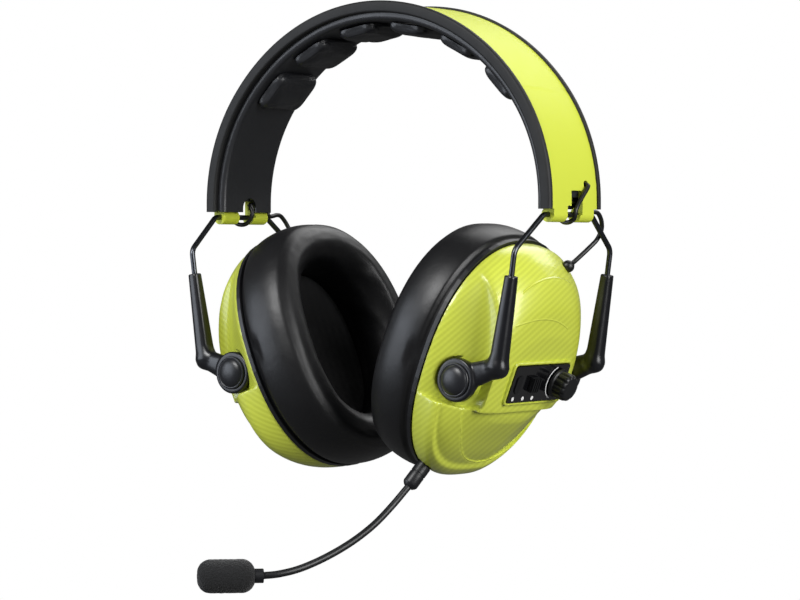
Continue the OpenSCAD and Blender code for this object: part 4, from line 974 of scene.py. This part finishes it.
def panel_lip():
    """The raised lip of the shell round the control panel, in cup coordinates."""
    ring, inner = (rounded([(-w, -h), (w, -h), (w, h), (-w, h)], [r] * 4, 8)
                   for w, h, r in ((22, 9.8, 2.6), (20.7, 8.45, 1.6)))
    middle = (ring + inner) / 2
    rings = [level(ring, SHELL_DEPTH - 1.5), level(ring, SHELL_DEPTH + 0.75),
             level(0.6 * ring + 0.4 * middle, SHELL_DEPTH + 1.15), level(middle, SHELL_DEPTH + 1.3),
             level(0.6 * inner + 0.4 * middle, SHELL_DEPTH + 1.15), level(inner, SHELL_DEPTH + 0.75),
             level(inner, SHELL_DEPTH - 1.5)]
    return skin(rings[::-1], caps=False)


def build_shells():
    for name, m in SIDES:
        points, faces = surface(lambda p: shell_field(p, m > 0), (-1.4, -48.3, -55.3), (30, 48.3, 55.3),
                                0.7)
        if m > 0:
            points, faces = joined([(points, faces), panel_lip()])
        place(name + "_shell", to_cup(points, m), turned(faces, m < 0), "shell_finish", name + "_cup",
              [name + "_cup_shell"], 35, points)


# Section of a cushion: share of the way from its outer to its inner edge, share of its thickness
CUSHION = [(0.04, 0), (-0.03, 0.18), (-0.05, 0.4), (-0.01, 0.66), (0.1, 0.86), (0.28, 0.98),
           (0.48, 1), (0.7, 0.93), (0.9, 0.77), (1, 0.55), (0.98, 0.26), (0.9, 0)]


def cushion_skin():
    """A cushion's skin in cup coordinates, with the place of each point along its section."""
    steps = 144
    outer, inner = oval(steps, CUP_HW, CUP_HH, OVAL_N), oval(steps, EAR_HW, EAR_HH, OVAL_N)
    section = smooth_path([(*q, 0) for q in CUSHION], 4)[:, :2]
    section = np.clip(section, (-0.05, 0), (1, 1))
    rings = [level(outer * (1 - f) + inner * f, CUSHION_BASE - h * CUSHION_T) for f, h in section]
    points, faces = skin(rings, closed=True)
    return points, turned(faces), np.repeat(np.arange(len(rings)) / len(rings), steps)


def point_normals(points, faces):
    f = np.array(faces)
    a, b, c, d = (points[f[:, i]] for i in range(4))
    n = np.cross(c - a, d - b)
    out = np.zeros_like(points)
    for i in range(4):
        np.add.at(out, f[:, i], n)
    return out / np.maximum(np.linalg.norm(out, axis=1), 1e-9)[:, None]


def build_cushions():
    """The ear cushions: blown up from their base, with a low seam round the shoulder."""
    seam_at, seam_width, seam_height = 0.36, 0.012, 0.28
    points, faces, share = cushion_skin()
    pinned = np.where(points[:, 0] > CUSHION_BASE - 0.12 * CUSHION_T)[0]
    soft = inflate(points, faces, pinned, 3.0, 14, 1.2)
    soft[:, 0] = np.maximum(soft[:, 0], CUSHION_BASE - CUSHION_T)
    seam = seam_height * np.exp(-((share - seam_at) / seam_width) ** 2)
    soft = soft + point_normals(soft, faces) * seam[:, None]
    for name, m in SIDES:
        obj = place(name + "_cushion", to_cup(soft, m), turned(faces, m < 0), "cushion_leather",
                    name + "_cup", [name + "_ear_cushion"], 70)


def build_cup_insides():
    """The cloth screen over the loudspeaker and the foam behind it, in each cup."""
    hw, hh = EAR_HW + 1.6, EAR_HH + 1.5
    edge = oval(80, hw, hh, OVAL_N)
    rings = [level(edge * f, -2.1) for f in (0.02, 0.3, 0.6, 0.9, 1.0)]
    rings += [level(edge * f, -2.72) for f in (1, 0.9, 0.75, 0.6, 0.45, 0.3, 0.15, 0.02)]
    points, faces = skin(rings)
    outline = oval(80, 26, 26, OVAL_N)
    outline[:, 1] *= np.where(outline[:, 1] > 0, 34 / 26, 1)
    profile = [(0.02, 13.45), (0.96, 13.45), (0.995, 13.8), (1, 14.4),
               (1, 16.3), (0.995, 17), (0.96, 17.35), (0.02, 17.35)]
    foam, foam_faces = skin([level(outline * f, w) for f, w in profile])
    for name, m in SIDES:
        cloth = place(name + "_screen", to_cup(points, m), turned(faces, m > 0), "screen_cloth",
                      name + "_cup", [name + "_cloth_screen"], 50)
        pad = place(name + "_foam", to_cup(foam, m), turned(foam_faces, m < 0), "foam", name + "_cup",
                    [name + "_absorber_foam"], 50)


# CAD nodes inside the cups that stay as they are
IN_EACH_CUP = {"backplate": "black_plastic", "backplate_screws": "steel", "pivot_clips": "steel",
               "speaker_basket": "black_plastic", "speaker_magnet": "steel", "speaker_cone": "cone_paper"}
IN_LEFT_CUP = {"volume_shaft": "steel", "potentiometer": "metal_can", "switch_body": "metal_can",
               "button_switch": "metal_can", "indicator_lenses": "lens", "circuit_board": "board",
               "battery": "cell", "mic_socket": "black_plastic"}


def dress_insides():
    for name, _ in SIDES:
        for part, slot in IN_EACH_CUP.items():
            dress(f"{name}_{part}", slot)
    for part, slot in IN_LEFT_CUP.items():
        dress(part, slot)


# ---------- controls, boom and cables ----------

def build_controls(s):
    dress("control_panel", "panel_gloss", cup=True)
    for name in ("mode_switch", "push_button"):
        dress(name, "knob_rubber")
    r, skirt, top = KNOB_R, 1.6, 7.5
    profile = [(3.2, 0.02), (r - 0.4, 0), (r, 0.3), (r, 1.3), (r - 0.3, skirt), (r - 0.5, 1.8),
               (r - 0.5, 5.6), (r - 0.62, 6.3), (r - 1.0, 7.0), (r - 1.6, 7.4), (r - 2.3, top),
               (2.0, 7.45), (0.05, 7.4)]
    rise = [tuple(np.add(a, np.subtract(b, a) * t)) for a, b in zip(profile, profile[1:]) for t in (0, 0.5)]

    def flutes(a, h):
        """Grooves from the skirt to the top edge."""
        reach = np.clip((h - skirt) / 0.3, 0, 1) * np.clip((top - h) / 0.6, 0, 1)
        return 1 - 0.11 * reach * np.abs(np.cos(s.knob_flutes / 2 * a)) ** 5

    hub = to_cup([FACE_W + 0.5, KNOB_S, 0])
    axis = to_cup([1, 0, 0]) - to_cup([0, 0, 0])
    rings = lathe_rings(rise + [profile[-1]], hub, axis, 192, flutes)
    bore = lathe_rings([(3.05, 6.9), (3.05, 0.02)], hub, axis, 192)
    place("volume_dial", *skin(np.vstack([bore, rings])), "knob_rubber", "knob", ["volume_knob"], 32)


def build_boom(s):
    """Plug barrel with a waist, gooseneck, collar and the microphone itself."""
    local, lean = jack_place()
    at, axis = to_cup(local), to_cup(local + lean) - to_cup(local)
    start, end = 0.6, 12.1
    profile = [(1.75, -11.4), (1.75, start), (3.2, start), (3.4, start + 0.25), (3.4, start + 4.2),
               (3.15, start + 4.4), (3.15, start + 4.8), (3.4, start + 5.0), (3.4, end - 1.6),
               (3.1, end - 0.9), (2.2, end), (1.2, end)]
    place("boom_barrel", *skin(lathe_rings(profile, at, axis, 56)), "black_plastic", "boom",
          ["boom_plug"], 35)
    neck = smooth_path([at + axis * (end - 0.2)] + [np.array(q, float) for q in NECK], 14)
    tube("boom_neck", neck, mm(s.neck_thickness) / 2, 24, "neck_jacket", "boom", ["gooseneck"])
    tip, way = np.array(NECK[-1], float), unit((-0.75, -0.66, 0))
    collar = [(1.6, -1), (2.7, -1), (3.0, -0.7), (3.0, 2.6), (2.7, 2.95), (0.05, 2.95)]
    place("microphone_collar", *skin(lathe_rings(collar, tip, way, 48)), "black_plastic", "boom",
          ["mic_collar"], 35)
    dress("mic_capsule", "capsule_metal")
    build_windscreen(tip, way, mm(s.windscreen_width) / 2)


def build_windscreen(tip, way, r):
    """The foam sleeve: a capsule shape with the small lumps of cut foam."""
    length, soft, start = 24.0, 5.6, 2.5
    turns = [0.5 * math.pi * i / 13 for i in range(1, 13)]
    profile = [(3.15, start + 1.2), (3.3, start + 0.3)]
    profile += [(r - soft + soft * math.sin(a), start + soft - soft * math.cos(a)) for a in turns]
    profile += [(r, start + h) for h in np.linspace(soft, length - soft, 16)]
    profile += [(r - soft + soft * math.cos(a), start + length - soft + soft * math.sin(a)) for a in turns]
    profile += [(r - soft, start + length), (0.6, start + length), (0.05, start + length)]
    points, faces = skin(lathe_rings(profile, tip, way, 96))
    lump = np.array([noise.noise(Vector(p) * 0.9) * 0.12 + noise.noise(Vector(p) * 2.3) * 0.07
                     for p in points])
    out = points - (tip + way * (start + length / 2))
    out -= (out @ way)[:, None] * way * 0.8
    points = points + out / np.maximum(np.linalg.norm(out, axis=1), 1e-6)[:, None] * (lump - 0.06)[:, None]
    obj = place("foam_windscreen", points, faces, "windscreen_foam", "boom", ["mic_windscreen"], 60)


def build_cables(s):
    """The cable in the band, and its free leads from the band's ends to the cups, each in three lengths."""
    radius, depth = mm(s.cable_thickness) / 2, 4.2
    side, crown, split = SIDE_R - depth, CROWN_R - depth, math.pi / 2 - ARCH_SPLIT
    low = math.asin((HOLE_Z + 2 - BAND_Z) / side)
    half = list(smooth_path(END_ROUTE, 5))
    half += [(ARCH_C + side * math.cos(a), CABLE_Y, BAND_Z + side * math.sin(a))
             for a in np.linspace(low, split, 24, endpoint=False)]
    half += [(crown * math.cos(a), CABLE_Y, CROWN_Z + crown * math.sin(a))
             for a in np.linspace(split, math.pi / 2, 20)]
    path = half + [(-p[0], p[1], p[2]) for p in half[-2::-1]]
    tube("cup_to_cup_cable", path, radius, 16, "cable_rubber", "headband", ["band_cable"])
    line = smooth_path(LEAD, 5)
    run = np.concatenate([[0], np.cumsum(np.linalg.norm(np.diff(line, axis=0), axis=1))])
    rings = tube_rings(line, radius, 16)
    marks = [0, *(int(np.searchsorted(run, run[-1] * i / 3)) for i in (1, 2)), len(line) - 1]
    ball = [(0.05, 0)]
    ball += [(2.7 * math.sin(t), 2.7 - 2.7 * math.cos(t)) for t in np.linspace(0.25, math.pi - 0.35, 22)]
    ball += [(1.05, 5.3), (0.05, 5.3)]
    neck = [(0.05, -4), (1.5, -4), (1.7, -3.7), (1.7, 0.9), (0.05, 0.9)]
    seat, axis = to_cup(GROMMET), to_cup(GROMMET + grommet_axis()) - to_cup(GROMMET)
    grommet, grommet_faces = joined([skin(lathe_rings(profile, origin, axis, 40))
                                     for profile, origin in ((ball, seat - 0.6 * axis), (neck, seat))])
    for name, m in SIDES:
        for i, part in enumerate(("upper", "middle", "lower")):
            piece = rings[marks[i]:marks[i + 1] + 1] * [m, 1, 1]
            points, faces = skin(piece)
            obj = place(f"{name}_lead_{part}", points, turned(faces, m < 0), "cable_rubber",
                        stands_for=[name + "_cup_lead"] if i == 0 else (), sharp=60)
            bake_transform(obj)
        place(name + "_ball_grommet", grommet * [m, 1, 1], turned(grommet_faces, m < 0), "cable_rubber",
              name + "_cup", [name + "_cable_grommet"], 60)


# ---------- stage ----------

# Name, place from the middle towards (camera, right, up) in m, size in m, share of the key's power, colour
LIGHTS = (
    ("key", (0.8, -0.7, 0.75), 0.45, 0.75, (1, 1, 1)),
    ("side", (0.25, -1.1, 0.15), 0.6, 0.32, (0.84, 0.9, 1)),
    ("fill", (0.85, 0.95, 0.3), 0.8, 1.15, (1, 1, 1)),
    ("rim", (-0.6, 0.5, 0.9), 0.9, 0.45, (1, 1, 1)),
)


def build_stage(s):
    """Camera, lights, white room and a pale floor."""
    scene = bpy.context.scene
    right, back = Vector((0.8090, 0.5878, 0.0)), Vector((0.58769, -0.80889, 0.01763)).normalized()
    up = back.cross(right)
    camera = new_object("camera", bpy.data.cameras.new("camera"))
    camera.data.lens, camera.data.sensor_width, camera.data.clip_start = 126.05, 36, 0.05
    place_m = (1.05 * right + 17.1 * up + 1235 * back) * MM
    camera.matrix_world = Matrix([(right[i], up[i], back[i], place_m[i]) for i in range(3)] + [(0, 0, 0, 1)])
    scene.camera = camera
    middle = Vector((0, 0, 0.02))
    for name, (b, r, u), size, share, colour in LIGHTS:
        lamp = new_object(name, bpy.data.lights.new(name, "AREA"))
        lamp.data.shape, lamp.data.size = "SQUARE", size
        lamp.data.energy, lamp.data.color = s.key_power * share, colour
        lamp.location = middle + b * back + r * right + u * up
        lamp.rotation_euler = (middle - lamp.location).to_track_quat("-Z", "Y").to_euler()
    # Rays from the camera and through clear pieces see white; the rest see the room's own light
    scene.world = bpy.data.worlds.new("studio")
    scene.world.use_nodes = True
    tree = scene.world.node_tree
    tree.nodes.clear()
    rays = node(tree, "ShaderNodeLightPath")
    seen = node(tree, "ShaderNodeMath", {"operation": "MAXIMUM"},
                {0: (rays, "Is Camera Ray"), 1: (rays, "Is Transmission Ray")})
    lit = node(tree, "ShaderNodeBackground", {"Color": (1, 1, 1, 1), "Strength": s.room_light})
    white = node(tree, "ShaderNodeBackground", {"Color": (1, 1, 1, 1), "Strength": 1.0})
    mix = node(tree, "ShaderNodeMixShader",
               links={0: (seen, "Value"), 1: (lit, "Background"), 2: (white, "Background")})
    node(tree, "ShaderNodeOutputWorld", links={"Surface": (mix, "Shader")})
    # The floor shows white to the camera and sends only a little light up to the object
    floor_material, tree, shader, _ = base_material("pale_floor", (0.1, 0.1, 0.1), 0.9)
    glow = node(tree, "ShaderNodeEmission", {"Color": (1, 1, 1, 1), "Strength": 1.0})
    rays = node(tree, "ShaderNodeLightPath")
    mix = node(tree, "ShaderNodeMixShader",
               links={0: (rays, "Is Camera Ray"), 1: (shader, "BSDF"), 2: (glow, "Emission")})
    tree.links.new(mix.outputs["Shader"], tree.nodes["Material Output"].inputs["Surface"])
    reach, floor_z = 3000, -210
    corners = [(x * reach, y * reach, floor_z) for x, y in ((-1, -1), (1, -1), (1, 1), (-1, 1))]
    floor = new_object("floor", new_mesh("floor", corners, [(0, 1, 2, 3)]))
    floor.data.materials.append(floor_material)
    scene.view_settings.view_transform = "Standard"
    scene.view_settings.look = "None"
    scene.render.film_transparent = False


# ---------- add-on ----------

def colour_setting(name, description, default):
    return bpy.props.FloatVectorProperty(name=name, description=description, subtype="COLOR", size=3,
                                         min=0, max=1, default=linear(default)[:3])


def length_setting(name, description, default_mm, low_mm, high_mm):
    return bpy.props.FloatProperty(name=name, description=description, unit="LENGTH", subtype="DISTANCE",
                                   precision=4, default=default_mm * MM, min=low_mm * MM, max=high_mm * MM)


class HeadsetSettings(bpy.types.PropertyGroup):
    band_colour: colour_setting("Band colour", "Colour of the sprung plate", "#cad53f")
    shell_colour: colour_setting("Shell colour", "Light threads of the shells", "#ced84c")
    shell_shade: colour_setting("Shell shade", "Dark threads of the shells", "#bfc941")
    cushion_colour: colour_setting("Cushion colour", "Colour of the ear cushions", "#0c0c0e")
    weave_pitch: length_setting("Weave pitch", "Distance from rib to rib of the shells' weave", 2.0, 0.5, 6)
    pad_height: length_setting("Pad height", "Rise of the crown pads over the lining", 4.5, 2, 4.5)
    wire_thickness: length_setting("Wire thickness", "Thickness of the yokes' wire", 2.4, 1.6, 2.4)
    cable_thickness: length_setting("Cable thickness", "Thickness of the cup-to-cup cable", 2.0, 1.2, 2.0)
    neck_thickness: length_setting("Gooseneck thickness", "Thickness of the boom's gooseneck", 3.0, 2, 3)
    windscreen_width: length_setting("Windscreen width", "Width of the microphone's foam", 14.1, 12.5, 14.1)
    knob_flutes: bpy.props.IntProperty(
        name="Knob flutes", description="Number of grooves round the volume knob", default=12, min=6, max=24,
        step=2)
    key_power: bpy.props.FloatProperty(
        name="Key light", description="Power that the lights share", default=15, min=0, max=200, unit="POWER")
    room_light: bpy.props.FloatProperty(
        name="Room light", description="Strength of the light from all round", default=0.12, min=0, max=3)


class HEADSET_OT_materials(bpy.types.Operator):
    """Makes the materials"""
    bl_idname, bl_label = "headset.materials", "Materials"

    def execute(self, context):
        make_materials(context.scene.headset)
        return {"FINISHED"}


class HEADSET_OT_band(bpy.types.Operator):
    """Builds the sprung band, its edges, lining and pads"""
    bl_idname, bl_label = "headset.band", "Band"

    def execute(self, context):
        build_band()
        build_lining()
        build_pads(context.scene.headset)
        return {"FINISHED"}


class HEADSET_OT_yokes(bpy.types.Operator):
    """Builds the wire yokes, sliding arms and pivot caps"""
    bl_idname, bl_label = "headset.yokes", "Yokes and arms"

    def execute(self, context):
        build_yokes(context.scene.headset)
        build_arms()
        return {"FINISHED"}


class HEADSET_OT_cups(bpy.types.Operator):
    """Builds the shells, cushions and what is inside the cups"""
    bl_idname, bl_label = "headset.cups", "Cups"

    def execute(self, context):
        build_shells()
        build_cushions()
        build_cup_insides()
        dress_insides()
        return {"FINISHED"}


class HEADSET_OT_controls(bpy.types.Operator):
    """Builds the panel, knob, switch and button"""
    bl_idname, bl_label = "headset.controls", "Controls"

    def execute(self, context):
        build_controls(context.scene.headset)
        return {"FINISHED"}


class HEADSET_OT_boom(bpy.types.Operator):
    """Builds the boom microphone"""
    bl_idname, bl_label = "headset.boom", "Boom microphone"

    def execute(self, context):
        build_boom(context.scene.headset)
        return {"FINISHED"}


class HEADSET_OT_cables(bpy.types.Operator):
    """Builds the cable between the cups"""
    bl_idname, bl_label = "headset.cables", "Cables"

    def execute(self, context):
        build_cables(context.scene.headset)
        return {"FINISHED"}


class HEADSET_OT_stage(bpy.types.Operator):
    """Sets up the camera, lights and floor"""
    bl_idname, bl_label = "headset.stage", "Stage"

    def execute(self, context):
        build_stage(context.scene.headset)
        return {"FINISHED"}


OPERATORS = (HEADSET_OT_materials, HEADSET_OT_band, HEADSET_OT_yokes, HEADSET_OT_cups, HEADSET_OT_controls,
             HEADSET_OT_boom, HEADSET_OT_cables, HEADSET_OT_stage)


class HEADSET_PT_panel(bpy.types.Panel):
    bl_idname = "HEADSET_PT_panel"
    bl_label = "Headset"
    bl_space_type, bl_region_type, bl_category = "VIEW_3D", "UI", "Headset"

    def draw(self, context):
        for name in HeadsetSettings.__annotations__:
            self.layout.prop(context.scene.headset, name)
        for operator in OPERATORS:
            self.layout.operator(operator.bl_idname)


CLASSES = (HeadsetSettings, *OPERATORS, HEADSET_PT_panel)


def register():
    for c in CLASSES:
        bpy.utils.register_class(c)
    bpy.types.Scene.headset = bpy.props.PointerProperty(type=HeadsetSettings)


def unregister():
    del bpy.types.Scene.headset
    for c in reversed(CLASSES):
        bpy.utils.unregister_class(c)


def main():
    register()
    for operator in OPERATORS:
        group, name = operator.bl_idname.split(".")
        getattr(getattr(bpy.ops, group), name)()


if __name__ == "__main__":
    main()
